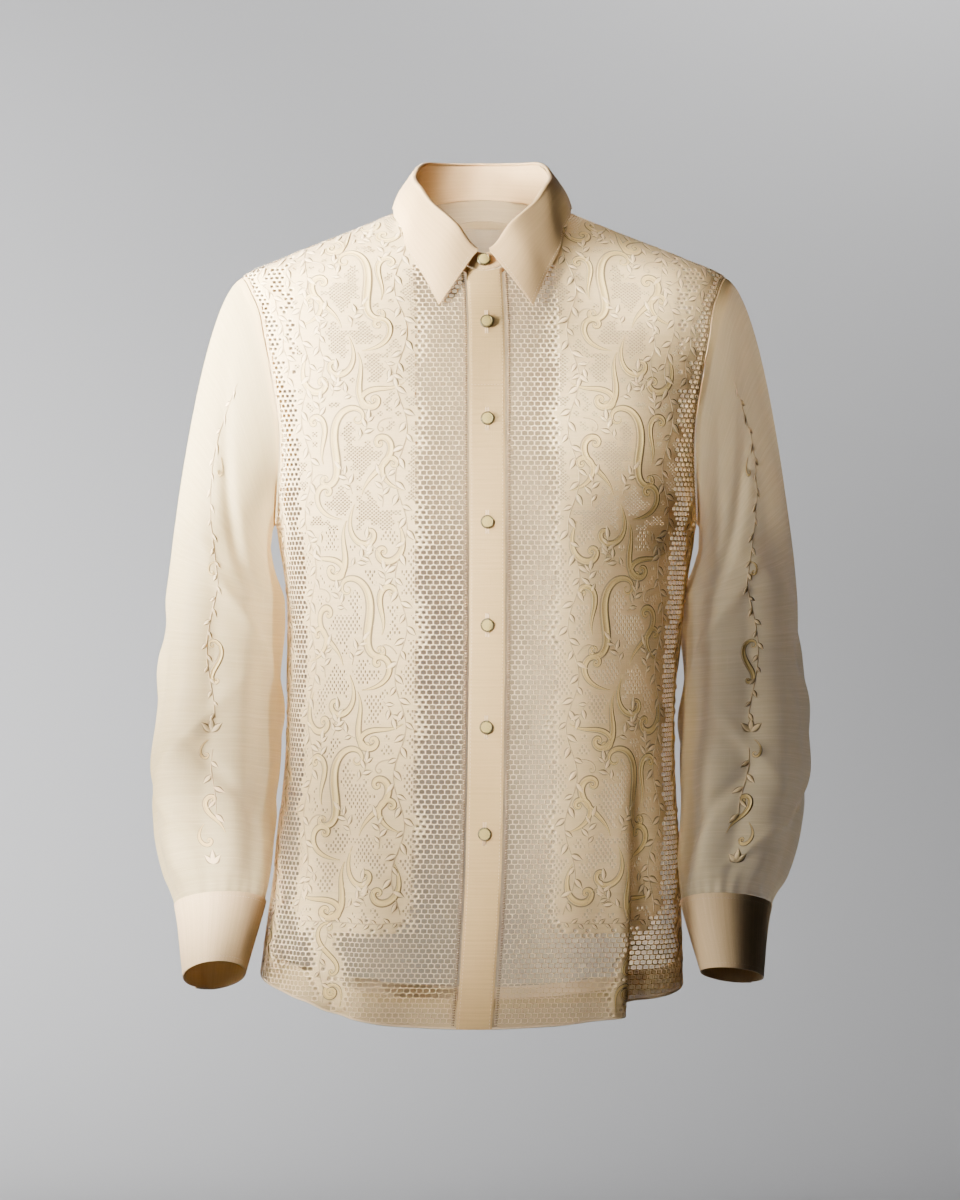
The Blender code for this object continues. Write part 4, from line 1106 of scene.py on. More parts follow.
# %% The fronts' pattern
# One repeat of the band: shape, across, height, turn, size, flip and width of the ribbon, in millimetres.
# Every second repeat is turned over.
REPEAT, REPEATS, BAND_TOP, BAND_MIDDLE = 158.0, 4, -26.0, 128.0
BAND_SCROLLS = (
    ("wave", 118, -40, 62, 1.0, 1, 10.0),
    ("hook", 152, -58, 250, 0.95, -1, 8.0),
    ("crook", 104, -92, 300, 1.0, 1, 7.0),
    ("crook", 138, -112, 120, 1.05, -1, 7.0),
    ("hook", 112, -135, 70, 0.9, 1, 8.0),
    ("curl", 92, -70, 200, 0.9, 1, 2.0),
    ("curl", 160, -20, 40, 0.9, -1, 2.0),
    ("curl", 150, -140, 320, 1.0, -1, 2.0),
    ("crook", 166, -128, 62, 1.05, 1, 8.0),
    ("hook", 93, -34, 284, 0.75, -1, 7.0),
    ("hook", 98, -150, 150, 0.75, 1, 6.5),
    ("crook", 168, -66, 290, 0.9, 1, 6.5),
)
SPRAYS = (
    (128, -84, 100, 26, 5, 1.2),
    (98, -20, 110, 24, 4, -1.2),
    (158, -96, 80, 30, 5, 1.0),
    (124, -152, 20, 24, 4, 1.5),
    (134, -34, 40, 22, 4, 2.0),
    (148, -150, 120, 26, 5, -1.4),
    (96, -118, 220, 18, 3, 2.0),
)
LOW_SCROLLS = (
    ("wave", 146, -690, 80, 0.62, -1, 5.0),
    ("spiral", 138, -738, 250, 0.62, 1, 5.0),
    ("hook", 236, -150, 96, 0.8, 1, 7.0),
    ("crook", 240, -232, 80, 0.85, -1, 6.0),
    ("hook", 236, -330, 268, 0.85, -1, 7.0),
    ("wave", 243, -425, 84, 0.66, 1, 7.0),
    ("crook", 232, -505, 260, 0.9, 1, 6.0),
    ("wave", 246, -590, 96, 0.66, -1, 7.0),
    ("spiral", 226, -690, 240, 0.6, -1, 5.6),
)


def front_pattern(side):
    drape = fronts[side]
    work = Embroidery(lambda flat: on_front(drape, np.asarray(flat) * 0.001, 0.006))
    for repeat in range(-1, REPEATS):
        top = BAND_TOP - repeat * REPEAT
        for shape, across, height, turn, size, flip, width in BAND_SCROLLS:
            if repeat % 2:
                across, turn, flip = 2 * BAND_MIDDLE - across, 180 - turn, -flip
            line = placed(shape, across, height + top, turn, size, flip)
            if width < 3:
                work.stem(line, 1.3)
            else:
                work.ribbon(line, width)
        for across, height, heading, length, leaves, bend in SPRAYS:
            if repeat % 2:
                across, heading, bend = 2 * BAND_MIDDLE - across, 180 - heading, -bend
            work.spray(across, height + top, heading, length, leaves, bend)
    for across, phase in ((80.0, 0.0), (176.0, 0.4)):
        vine = wavy(across, 60.0, BAND_TOP - REPEATS * REPEAT, 5.5, 92.0, phase)
        work.stem(vine, 1.2)
        work.leaves(leaves_along(vine, 6.0, 11.5, 12.5, 44.0))
    for shape, across, height, turn, size, flip, width in LOW_SCROLLS:
        work.ribbon(placed(shape, across, height, turn, size, flip), width)
    sprig = turning_line((74, -664), -8, ((0, 0.3), (50, 0.1), (100, -0.25)))
    work.stem(sprig)
    work.leaves(leaves_along(sprig, 4.0, 6.5, 8.0, 40.0))
    stalk = wavy(150.0, -668, -748, 3.0, 60.0)
    work.stem(stalk)
    work.leaves(leaves_along(stalk, 8.0, 12.0, 8.5))
    outer = wavy(226.0, -150, -740, 7.0, 120.0, 0.2)
    work.stem(outer)
    work.leaves(leaves_along(outer, 5.0, 12.0, 11.5, 42.0))
    for margin, start in ((0.013, 5.0), (0.031, 9.0)):
        beside = armhole_vine(drape, margin)
        work.stem(beside, 1.2)
        work.leaves(leaves_along(beside, start, 10.5, 11.5, 44.0))
    return work


def armhole_vine(drape, margin):
    """A stem that follows the armhole, a margin inside its seam."""
    heights, across = np.arange(60.0, -165.0, -1.5), np.arange(120.0, 260.0, 1.0)
    flat = np.stack(np.meshgrid(across, heights), axis=-1)
    inside = on_front(drape, flat * 0.001, margin)
    rows = inside.any(axis=1)
    last = across[inside.shape[1] - 1 - inside[rows, ::-1].argmax(axis=1)]
    last = np.convolve(np.pad(last, 8, mode="edge"), np.ones(17) / 17, mode="valid")
    return np.stack([last + 1.6 * np.sin(heights[rows] * math.tau / 34.0), heights[rows]], axis=1)


silks = [ribbon_satin, leaf_silk, stem_silk, outline_and_foot_shade]
patterns = {side: front_pattern(side) for side in (-1, 1)}
for side, name in SIDES.items():
    work = patterns[side]
    piece = work.build("embroidery_" + name, fronts[side], -0.0001, silks, side)
    print(piece.name, len(work.parts), "parts,", len(piece.data.polygons), "faces")


# %% [markdown]
# ## The netted fronts
#
# In calado, threads are drawn out of the cloth and the rest are bound into a net of small brick-shaped
# holes. The net is real geometry: each open cell has a rim of twelve faces that slope from the ridges
# between the cells to the edge of its hole, above and below. Round the embroidery the cells stay closed,
# as the cloth there isn't drawn, and inside the band between the scrolls it is drawn more finely.


# %% The net's cells
NET_START = BAND_HALF + 0.0032
NET_ACROSS, NET_DOWN, NET_ZIGZAG = 0.006, 0.0046, 0.00034
RIDGE, NET_MIDDLE = 0.00045, -0.0007
HOLE_ACROSS, HOLE_DOWN = 0.82, 0.8
OPEN, CLOSED, WINDOW, BRICKS = 0, 1, 2, 3
HEM_DEEP = 0.028
BAND_SIDES, BAND_LOW, BRICKS_BELOW = (0.067, 0.186), -0.66, -0.3
CLOSED_WITHIN = (0.0042, 0.0028)  # how near to a stitch a cell stays closed: in the band, and beside it
GROW_OVER = (0.017, 0.008)  # the distance over which holes grow: beside the front band, and elsewhere
SMALL_ABOVE, SIDE_HOLES = -0.26, (0.62, 0.86)  # the most by which a hole beyond the band opens
chance = np.random.default_rng(11)


def near_marks(work):
    """A tree of the embroidery's points, for finding how near a cell is to it."""
    marks = np.concatenate(work.marks)
    tree = KDTree(len(marks))
    for k, (x, y) in enumerate(marks):
        tree.insert((x, y, 0.0), k)
    tree.balance()
    return tree


def cell_kinds(drape, middles, work):
    """Which cells are open net, which a window of finer net and which closed cloth, and how wide each
    open cell's hole is beside a full one: the holes grow with their distance from the embroidery."""
    tree = near_marks(work)
    away = np.array([tree.find((x * 1000, y * 1000, 0.0))[2] for x, y in middles]) * 0.001
    across, height = middles.T
    inside = (across > BAND_SIDES[0]) & (across < BAND_SIDES[1]) & (height > BAND_LOW)
    kinds = np.where(inside, np.where(height > BRICKS_BELOW, WINDOW, BRICKS), OPEN)
    kinds[away < np.where(inside, *CLOSED_WITHIN)] = CLOSED
    kinds[on_hem_band(drape, middles, HEM_DEEP) & (kinds >= WINDOW)] = OPEN
    reach = np.where(across < BAND_SIDES[0], *GROW_OVER)
    share = 0.42 + 0.58 * ease((away - 0.0025) / reach)
    share = share * (1.0 + chance.normal(0.0, 0.035, len(away)))
    most = np.where(across > BAND_SIDES[1], np.where(height > SMALL_ABOVE, *SIDE_HOLES), 1.06)
    return kinds, np.clip(share, 0.3, most)


def front_net(side):
    drape = fronts[side]
    columns, lines = int(0.33 / (NET_ACROSS / 2)), int(0.002 * len(drape.points) / NET_DOWN) + 1
    c, r = np.meshgrid(np.arange(columns), np.arange(lines))
    flat = np.stack(
        [
            NET_START + c * NET_ACROSS / 2,
            drape.low[1] + r * NET_DOWN + np.where((c + r) % 2 == 0, NET_ZIGZAG, -NET_ZIGZAG),
        ],
        axis=-1,
    )
    inside = on_front(drape, flat, 0.0006)
    cells = []
    for row in range(lines - 1):
        first = np.arange(row % 2, columns - 2, 2)
        low, high = row * columns + first, (row + 1) * columns + first
        cells.append(np.stack([low, low + 1, low + 2, high + 2, high + 1, high], axis=1))
    cells = np.concatenate(cells)
    cells = cells[inside.ravel()[cells].all(axis=1)]
    flat = flat.reshape(-1, 2)
    middles = flat[cells].mean(axis=1)
    kinds, share = cell_kinds(drape, middles, patterns[side])
    jitter = chance.normal(0.0, 0.0001, len(flat))
    count = len(flat)
    opened = cells[kinds == OPEN]
    shut = cells[kinds != OPEN]
    centre = middles[kinds == OPEN][:, None]
    hole = share[kinds == OPEN][:, None, None] * np.array([HOLE_ACROSS, HOLE_DOWN])
    rims = centre + (flat[opened] - centre) * hole
    points_flat = np.concatenate([flat, flat, rims.reshape(-1, 2)])
    lift = np.concatenate(
        [NET_MIDDLE + RIDGE + jitter, NET_MIDDLE - RIDGE + jitter, np.full(rims[..., 0].size, NET_MIDDLE)]
    )
    corner = np.arange(len(opened) * 6).reshape(-1, 6) + 2 * count
    ahead = np.roll(opened, -1, axis=1)
    rim_ahead = np.roll(corner, -1, axis=1)
    above = np.stack([opened, ahead, rim_ahead, corner], axis=-1).reshape(-1, 4)
    below = np.stack([opened + count, corner, rim_ahead, ahead + count], axis=-1).reshape(-1, 4)
    starts, ends = cells.ravel(), np.roll(cells, -1, axis=1).ravel()
    key = np.minimum(starts, ends) * count + np.maximum(starts, ends)
    _, at, times = np.unique(key, return_index=True, return_counts=True)
    lone = at[times == 1]
    walls = np.stack([starts[lone], starts[lone] + count, ends[lone] + count, ends[lone]], axis=1)
    faces = [above, below, walls, shut, shut[:, ::-1] + count]
    if side < 0:
        faces = [f[:, ::-1] for f in faces]
    slots = [np.zeros(len(above) + len(below) + len(walls)), kinds[kinds != OPEN], kinds[kinds != OPEN]]
    polygons = [row for part in faces for row in part.tolist()]
    used = np.unique(np.concatenate([part.ravel() for part in faces]))
    renumber = np.zeros(len(points_flat), int)
    renumber[used] = np.arange(len(used))
    polygons = [[int(renumber[k]) for k in row] for row in polygons]
    points = drape.place(points_flat[used], lift[used])
    name = "netted_front_" + SIDES[side]
    piece = add_piece(
        name, points, polygons, [net_thread, ground, lattice, bricks], points_flat[used],
        np.concatenate(slots)
    )
    area = len(cells) * NET_ACROSS * NET_DOWN
    print(
        name, len(opened), "open,", int((kinds >= WINDOW).sum()), "fine,", int((kinds == CLOSED).sum()),
        "closed"
    )
    return piece, area


nets = {side: front_net(side) for side in (-1, 1)}


# %% [markdown]
# ## Seams and edges of the fronts
#
# Where a panel is sewn, its edge is turned in and doubled, which shows as a smooth strip along the
# armhole, shoulder, neck and side. The strip is laid from the seam's line inwards. At the hem a
# second layer of cloth lies behind the net, and the edge is rolled.


# %% Seam lines and stitches
def side_seam(side, steps):
    """The side seam from hem to underarm, as (turn, level)."""
    low = float(HEM(SIDES[side], SIDE_TURN))
    return np.array([(SIDE_TURN, z) for z in np.linspace(low, UNDERARM, steps + 1)])


def hem_line(side, angle_of, start, steps):
    """The hem from a turn near the centre line out to the side seam."""
    turns = np.linspace(start, SIDE_TURN, 181)
    column = ("back_" if angle_of is back_angle else "") + SIDES[side]
    return even_line(np.stack([turns, HEM(column, turns)], axis=-1), angle_of, steps)


def shoulder_seam(angle_of, steps):
    """The shoulder seam from the neck out to the shoulder point."""
    line = np.array([(SIDE_TURN, z) for z in np.linspace(SIDE_NECK, SHOULDER, 60)])
    return even_line(line, angle_of, steps)


def front_neck(steps):
    """The neck seam of a front, from centre front to the side, as (turn, level)."""
    angles = np.linspace(90.0 - CENTRE_TURN, SEAM_TURN, 91)
    return even_line(np.stack([90.0 - angles, NECKLINE("level", angles)], axis=-1), front_angle, steps)


class Stitches:
    """Short raised stitches along lines, gathered into one mesh."""

    def __init__(self):
        self.points, self.faces, self.count = [], [], 0

    def along(self, line, out, length, gap, thick):
        """Stitches along a line of points. out is the direction away from the cloth at each point."""
        run = run_along(line)
        at = np.arange(gap / 2, run[-1], gap)
        middle = np.array([np.interp(at, run, line[:, k]) for k in range(3)]).T
        ahead = np.array([np.interp(at, run, np.gradient(line[:, k], run)) for k in range(3)]).T
        up = np.array([np.interp(at, run, out[:, k]) for k in range(3)]).T
        self.bars(middle, unit(ahead), unit(up), length, thick)

    def bars(self, middle, ahead, up, length, thick):
        """One stitch at each middle, pointing ahead."""
        across = np.cross(ahead, up)
        half = length / 2
        shape = [(-half, 0, 0)]
        for place in (-0.7 * half, 0.7 * half):
            shape += [(place, thick, 0), (place, 0, 1.1 * thick), (place, -thick, 0), (place, 0, -thick)]
        shape += [(half, 0, 0)]
        shape = np.array(shape)
        points = (
            middle[:, None]
            + shape[None, :, :1] * ahead[:, None]
            + shape[None, :, 1:2] * across[:, None]
            + shape[None, :, 2:] * up[:, None]
        )
        ring = []
        for k in range(4):
            n = (k + 1) % 4
            ring += [(0, 1 + n, 1 + k), (1 + k, 1 + n, 5 + n), (1 + k, 5 + n, 5 + k), (5 + k, 5 + n, 9)]
        faces = np.array(ring)[None] + 10 * np.arange(len(middle))[:, None, None] + self.count
        self.points.append(points.reshape(-1, 3))
        self.faces.append(faces.reshape(-1, 3))
        self.count += 10 * len(middle)

    def build(self, name, material):
        points = np.concatenate(self.points)
        flat = np.tile(np.array([[0.0, 0.0]]), (len(points), 1))
        flat[:, 0] = np.arange(len(points)) * 0.00037
        return add_piece(name, points, np.concatenate(self.faces).tolist(), [material], flat)


def inward_line(line, distance):
    """A flat line moved to its left."""
    ahead = np.gradient(line, axis=0)
    ahead /= np.linalg.norm(ahead, axis=1, keepdims=True)
    return line + distance * np.stack([-ahead[:, 1], ahead[:, 0]], axis=1)


def rolled_edge(name, line, radius, material, sides=8):
    """A round roll of cloth along a line of points."""
    ahead = unit(np.gradient(line, axis=0))
    side = unit(np.cross(ahead, (0.0, 0.0, 1.0)))
    up = np.cross(side, ahead)
    turn = np.arange(sides) / sides * math.tau
    round_it = np.cos(turn)[None, :, None] * side[:, None] + np.sin(turn)[None, :, None] * up[:, None]
    grid = line[:, None] + radius * round_it
    run = run_along(line)
    flat = np.stack(
        np.broadcast_arrays(run[:, None], np.arange(sides + 1) / sides * math.tau * radius), axis=-1
    )
    return cloth_sheet(name, grid, flat, [material], loop=True)


print("stitch: 16 triangles")


# %% Edges of the fronts
# The stitches of each kind of sewing: length, distance from one to the next, and thickness.
EDGE_STITCH, HEM_STITCH = (0.002, 0.0031, 0.00022), (0.0022, 0.0032, 0.00026)
BAND_STITCH, JOIN_STITCH = (0.0021, 0.0033, 0.00022), (0.0019, 0.003, 0.00022)
BACK_STITCH, PLAIN_STITCH = (0.0021, 0.0032, 0.00024), (0.0021, 0.0031, 0.00022)
NECK_STITCH = (0.0019, 0.003, 0.0002)
EDGE_WIDE, NECK_EDGE_WIDE = 0.0042, 0.006
edges, stitches = {}, Stitches()


def front_edges(side):
    drape = fronts[side]
    name = SIDES[side]
    seams = {
        "side": side_seam(side, 150),
        "armhole": np.array([armhole_turn(a) for a in np.linspace(180.0, 0.5, 130)]),
        "shoulder": shoulder_seam(front_angle, 60)[::-1],
        "neck": front_neck(60)[::-1],
    }
    made = []
    for seam, line in seams.items():
        outer = drape.flat_of(np.stack([np.minimum(line[:, 0], SIDE_TURN), line[:, 1]], axis=-1))
        share = np.linspace(0.02, 1.0, 5)
        wide = EDGE_WIDE if seam != "neck" else NECK_EDGE_WIDE
        flat = np.stack([inward_line(outer, wide * s) for s in share], axis=1)
        top = drape.place(flat, -0.0003 if seam == "neck" else -0.0012)
        under = drape.place(flat, -0.0018)
        cloth = edge_cloth if seam in ("neck", "shoulder") else hem_cloth
        made.append(cloth_shell(f"{seam}_edge_{name}", top, under, flat, [cloth], turn_over=side > 0))
        sewn = inward_line(outer, wide - 0.0012)
        stitches.along(drape.place(sewn, 0.0001), unit(drape.read(drape.out, sewn)), *EDGE_STITCH)
    return made


def front_hem(side):
    """The second layer behind the net, the roll at its edge and the facing under the front band."""
    drape = fronts[side]
    name = SIDES[side]
    hem = drape.flat_of(hem_line(side, front_angle, 0.4, 200))
    up = np.linspace(0.0006, HEM_DEEP, 9)
    flat = np.stack([hem + (0.0, rise) for rise in up], axis=1)
    behind = drape.place(flat, -0.0019)
    layer = cloth_sheet("hem_layer_" + name, behind, flat, [hem_cloth], turn_over=side > 0)
    roll = rolled_edge("hem_roll_" + name, drape.place(hem + (0.0, 0.0006), -0.0008), 0.001, edge_cloth)
    sewn = hem + (0.0, HEM_DEEP - 0.001)
    stitches.along(drape.place(sewn, 0.0), unit(drape.read(drape.out, sewn)), *HEM_STITCH)
    across = np.linspace(0.0004, BAND_HALF - 0.0004, 8)
    top, low = drape.level_at_neck, hem[0, 1] + 0.0006
    down = np.linspace(low, top, 260)
    flat = np.stack(np.meshgrid(across, down), axis=-1)
    facing = cloth_shell(
        "facing_" + name, drape.place(flat, -0.0003), drape.place(flat, -0.0011), flat, [edge_cloth],
        turn_over=side < 0
    )
    return [layer, roll, facing]


def ladder(side):
    """Drawn threads in a column beside the front band: short bars, bound in groups."""
    drape = fronts[side]
    down = np.arange(-0.759, drape.level_at_neck - 0.004, NET_DOWN / 2)
    flat = np.stack([np.full(len(down), NET_START + 0.0002), down], axis=-1)
    middle, out = drape.place(flat, 0.0001), unit(drape.read(drape.out, flat))
    ahead = unit(drape.place(flat + (0.001, 0.0)) - drape.place(flat - (0.001, 0.0)))
    ladder_bars.bars(middle, ahead, out, 0.0034, 0.00075)


edge_cloth = cloth_material(
    "doubled_edge", (0.8, 0.6, 0.34), (0.9, 0.7, 0.43), 1400, 1400, 0.4, 0.0001, 0.6, 0.15, None, 0.15
)
hem_cloth = cloth_material(
    "hem_layer", (0.62, 0.43, 0.19), (0.72, 0.51, 0.25), 1400, 1400, 0.5, 0.0001, 0.6, 0.15, (0.85, 1.0), 0.2
)
# The ladder's bars are coloured dark brown: painted shade of the open gaps between the drawn threads.
ladder_painted_shade = cloth_material(
    "ladder_painted_shade", (0.34, 0.21, 0.085), (0.44, 0.28, 0.125), 900, 2600, 0.1, 0.0001, 0.5, 0.2
)
ladder_bars = Stitches()
for side in (-1, 1):
    fronts[side].level_at_neck = float(
        fronts[side].flat_of(np.array([[9.0, NECKLINE("level", 81.0)]]))[0, 1]
    ) - 0.001
    edges[side] = front_edges(side) + front_hem(side)
    ladder(side)
ladder_piece = ladder_bars.build("ladder_stitches", ladder_painted_shade)
print("edge pieces:", [p.name for p in edges[1]])


# %% [markdown]
# ## The front band
#
# A plain strip, 33 mm wide, is laid over the opening. It is cut in two with a join at the chest, and its
# long edges are hem-stitched.

# %% Front band
BAND_THICK = 0.0012


def band_piece(name, low, high, rows):
    """The band between two level lines, given as functions of the turn."""
    x = np.linspace(-BAND_HALF, BAND_HALF, 15)
    middle = 0.5 * (low(np.zeros(1)) + high(np.zeros(1)))
    turn = np.degrees(np.arctan(x / BODY("front", middle)))
    share = np.linspace(0, 1, rows)[:, None]
    level = low(turn)[None] + share * (high(turn) - low(turn))[None]
    turn = np.degrees(np.arctan(x[None] / BODY("front", level)))
    on, out = body_point(front_angle(turn), level), body_normal(front_angle(turn), level)
    soft = 0.00014 * np.sin(level * 61.0 + 1.3) * np.sin(level * 23.0)
    edge = np.clip((BAND_HALF - np.abs(x)) / 0.0018, 0.0, 1.0)[None]
    lift = SEAM + BAND_THICK * (0.55 + 0.45 * np.sqrt(edge)) + soft * edge
    flat = np.stack(np.broadcast_arrays(x[None], level), axis=-1)
    outer, inner = on + lift[..., None] * out, on + SEAM * 0.4 * out
    piece = cloth_shell(name, outer, inner, flat, [band_cloth])
    for column in (1, -2):
        stitches.along(outer[:, column], out[:, column], *BAND_STITCH)
    return piece, cut_area(outer)


def hem_both(turn):
    return np.where(turn >= 0, HEM("left", np.abs(turn)), HEM("right", np.abs(turn)))


def join_line(turn):
    return np.full(np.shape(turn), BAND_JOIN)


def neck_line(turn):
    return NECKLINE("level", 90.0 - np.abs(turn)) - SEAM


placket, placket_area = band_piece("front_band", hem_both, lambda t: join_line(t) - SEAM / 2, 260)
placket_top, placket_top_area = band_piece("front_band_top", lambda t: join_line(t) + SEAM / 2, neck_line, 60)
join = body_point(front_angle(np.linspace(-7.5, 7.5, 20)), BAND_JOIN + 0.0012)
join_out = body_normal(front_angle(np.linspace(-7.5, 7.5, 20)), np.full(20, BAND_JOIN))
stitches.along(join + 0.0016 * join_out, join_out, *JOIN_STITCH)
print("front band area", round(placket_area + placket_top_area, 4), "m2")


# %% [markdown]
# ## Back and yoke
#
# Both are sheer cloth, so one fine sheet each is enough, and light passes through it. The yoke is seamed
# across the shoulder blades, with a few small tucks below the seam at centre back.


# %% Back and yoke
def back_neck(steps):
    """Half the neck seam of the yoke, from centre back to the side, as (turn, level)."""
    return np.array([(t, SIDE_NECK) for t in np.linspace(0.0, SIDE_TURN, steps + 1)])


def mirrored(line):
    return line * np.array([-1.0, 1.0])


def both_sides(line):
    """A line from the wearer's right to the left, from its left half, which starts at the centre."""
    return np.concatenate([mirrored(line)[:0:-1], line])


def yoke_seam(steps):
    """The yoke's lower seam from centre back out to the armhole, as (turn, level)."""
    turn, _ = armhole_turn(YOKE_AT_ARMHOLE, front=False)
    shares = np.linspace(0.0, 1.0, 121)
    line = np.stack([shares * turn, YOKE_SEAM("level", shares)], axis=-1)
    return even_line(line, back_angle, steps)


BACK_ACROSS, BACK_DOWN, ARMHOLE_DOWN, YOKE_DOWN = 90, 120, 60, 34
TUCKS, TUCK_DEPTH = (-3.4, -2.2, -1.1, 0.0, 1.1, 2.2, 3.4), 0.0011


def back_tucks(turn, level):
    """Small tucks that run down from the yoke seam at centre back and die away."""
    push = np.zeros(turn.shape)
    below = np.clip((YOKE_SEAM("level", np.abs(turn) / 80.0) - level) / 0.16, 0.0, 1.0)
    for at in TUCKS:
        push += TUCK_DEPTH * np.exp(-(((turn - at * (1 + 1.2 * below)) / 0.45) ** 2)) * (1 - below) ** 2
    return push


def back_surface(turns):
    angle, level = back_angle(turns[..., 0]), turns[..., 1]
    return body_point(angle, level), body_normal(angle, level)


hems = {side: hem_line(side, back_angle, 0.0, BACK_ACROSS) for side in (-1, 1)}
bottom = np.concatenate([mirrored(hems[-1])[:0:-1], hems[1]])
armhole = armhole_line(180.0, YOKE_AT_ARMHOLE, ARMHOLE_DOWN, False)
sides = {side: np.concatenate([side_seam(side, BACK_DOWN), armhole[1:]]) for side in (-1, 1)}
seam = both_sides(yoke_seam(BACK_ACROSS))
back_turns = filled_patch(mirrored(sides[-1]), sides[1], bottom, seam)
on, out = back_surface(back_turns)
back_grid = on + (back_tucks(back_turns[..., 0], back_turns[..., 1]) - 0.0006)[..., None] * out
back = cloth_sheet("sheer_back", back_grid, turn_to_flat(back_turns), [back_cloth_painted_shade])

neck_steps = 50
armhole = armhole_line(YOKE_AT_ARMHOLE, 360.0, YOKE_DOWN, False)
top = both_sides(
    np.concatenate([back_neck(neck_steps), shoulder_seam(back_angle, BACK_ACROSS - neck_steps)[1:]])
)
yoke_turns = filled_patch(mirrored(armhole), armhole, seam, top)
on, out = back_surface(yoke_turns)
yoke_grid = on - 0.0004 * out
yoke = cloth_sheet("sheer_yoke", yoke_grid, turn_to_flat(yoke_turns), [yoke_cloth_painted_shade])


# %% Back seams and hem
def back_strip(name, turns, wide, cloth, lift=0.0002):
    """A doubled edge laid upwards from a line of (turn, level) on the back."""
    share = np.linspace(0.0, 1.0, 5)
    rows = [np.stack([turns[:, 0], turns[:, 1] + wide * s], axis=-1) for s in share]
    grid = np.stack(rows, axis=0)
    on, out = back_surface(grid)
    return cloth_shell(name, on + lift * out, on - 0.0014 * out, turn_to_flat(grid), [cloth])


seam_strip = back_strip("yoke_seam_strip", seam + (0.0, 0.0004), 0.0062, yoke_cloth_painted_shade)
on, out = back_surface(seam + (0.0, 0.0058))
stitches.along(on + 0.0003 * out, out, *BACK_STITCH)
back_hem = back_strip("back_hem", bottom + (0.0, 0.0004), 0.02, edge_cloth, 0.0001)
hem_points, out = back_surface(bottom + (0.0, 0.0005))
back_roll = rolled_edge("back_hem_roll", hem_points - 0.0006 * out, 0.0009, edge_cloth)
on, out = back_surface(bottom + (0.0, 0.0192))
stitches.along(on + 0.0002 * out, out, *BACK_STITCH)
for side, name in SIDES.items():
    line = sides[side].copy()
    line[:, 0] *= side
    share = np.linspace(0.0, 1.0, 4)[None, :, None]
    inner = line - (side * 2.2, 0.0)
    grid = line[:, None] * (1 - share) + inner[:, None] * share
    on, out = back_surface(grid)
    cloth_shell(
            f"back_edge_{name}", on - 0.0001 * out, on - 0.0015 * out, turn_to_flat(grid), [edge_cloth],
            turn_over=side > 0
        )
print("back strips done")


# %% [markdown]
# ## Sleeves
#
# The sleeves are sheer, cut a little full and gathered in small tucks above the cuff. A sleeve hangs from
# the armhole in long soft folds, so several creases run down and round it at a slant. The stitched vine
# down its front uses the same drape idea as the fronts: a band of the sleeve, laid flat.


# %% The sleeve's surface
ARMPIT_RING, CUFF_TOP, CUFF_END = -0.36, -0.65, -0.7145
FINE_CREASES = (
    (95.0, 0.3, 0.003, 0.045, 50.0, -0.003),
    (60.0, 0.4, -0.002, 0.04, 45.0, 0.0026),
    (130.0, 0.52, 0.0024, 0.035, 45.0, 0.0026),
    (80.0, 0.72, -0.0022, 0.03, 40.0, 0.0024),
    (110.0, 0.82, 0.002, 0.028, 40.0, -0.0026),
    (70.0, 0.9, 0.0016, 0.022, 40.0, 0.0022),
    (250.0, 0.35, 0.0026, 0.04, 50.0, -0.003),
    (285.0, 0.55, -0.0024, 0.04, 45.0, 0.0028),
    (230.0, 0.8, -0.002, 0.03, 45.0, 0.0026),
    (330.0, 0.45, 0.0022, 0.04, 40.0, -0.0026),
    (10.0, 0.6, -0.0022, 0.04, 40.0, 0.0026),
    (350.0, 0.78, 0.002, 0.03, 40.0, -0.0028),
    (180.0, 0.66, 0.002, 0.03, 40.0, 0.0024),
)
LONG_FOLDS = (
    (56.0, 10.0, 0.0046), (88.0, 8.0, -0.004), (118.0, 9.0, 0.005), (146.0, 10.0, -0.0046),
    (20.0, 9.0, -0.0036)
)
LONG_FOLDS += ((215.0, 10.0, -0.0028), (255.0, 9.0, 0.0026), (300.0, 10.0, -0.0026), (335.0, 9.0, 0.0026))
TUCK_COUNT, TUCK_RISE = 22, 0.0011


def arm_ring(side, round_arm, height, grow=0.0):
    """A point of the arm's section at a height. round_arm: 0 outside, 90 front, 180 inside, 270 back."""
    out_x = side * (ARM("out", height) - side * ARM("lean", height))
    tilt, roll = np.radians(ARM("tilt", height)), np.radians(ARM("roll", height))
    if side > 0:
        tilt = tilt * (1.0 - 0.4 * ease((CUFF_TOP + 0.02 - height) / 0.06))
    c, s = np.cos(np.radians(round_arm)), np.sin(np.radians(round_arm))
    a, b = (ARM("half_out", height) + grow) * c, (ARM("half_forward", height) + grow) * s
    zero = np.zeros(np.broadcast(a, b).shape)
    x = out_x + side * a * np.cos(roll) + zero
    y = -ARM("forward", height) - b * np.cos(tilt) + zero
    z = height - a * np.sin(roll) + b * np.sin(tilt) + zero
    return np.stack([x, y, z], axis=-1)


def armhole_point(side, round_arm):
    turn, level = armhole_turn(round_arm, front=round_arm % 360.0 <= 180.0)
    turn = min(turn, 90.0)
    angle = 90.0 - turn if round_arm % 360.0 <= 180.0 else 270.0 + turn
    angle = angle if side > 0 else 180.0 - angle
    return body_point(angle, level)


def sleeve_lines(side, rounds):
    """Armhole points, armpit ring points and the two end directions of the sleeve head."""
    start = np.array([armhole_point(side, r) for r in rounds])
    slope = math.radians(CAP_SLOPE)
    leave = np.array([side * math.cos(slope), 0.0, -math.sin(slope)])
    start = start + 1.3 * SEAM * leave
    end = arm_ring(side, rounds, np.full(len(rounds), ARMPIT_RING))
    onward = unit(arm_ring(side, rounds, np.full(len(rounds), ARMPIT_RING - 0.01)) - end)
    reach = np.linalg.norm(end - start, axis=1)[:, None]
    return start, end, leave * reach * CAP_FULLNESS, onward * reach


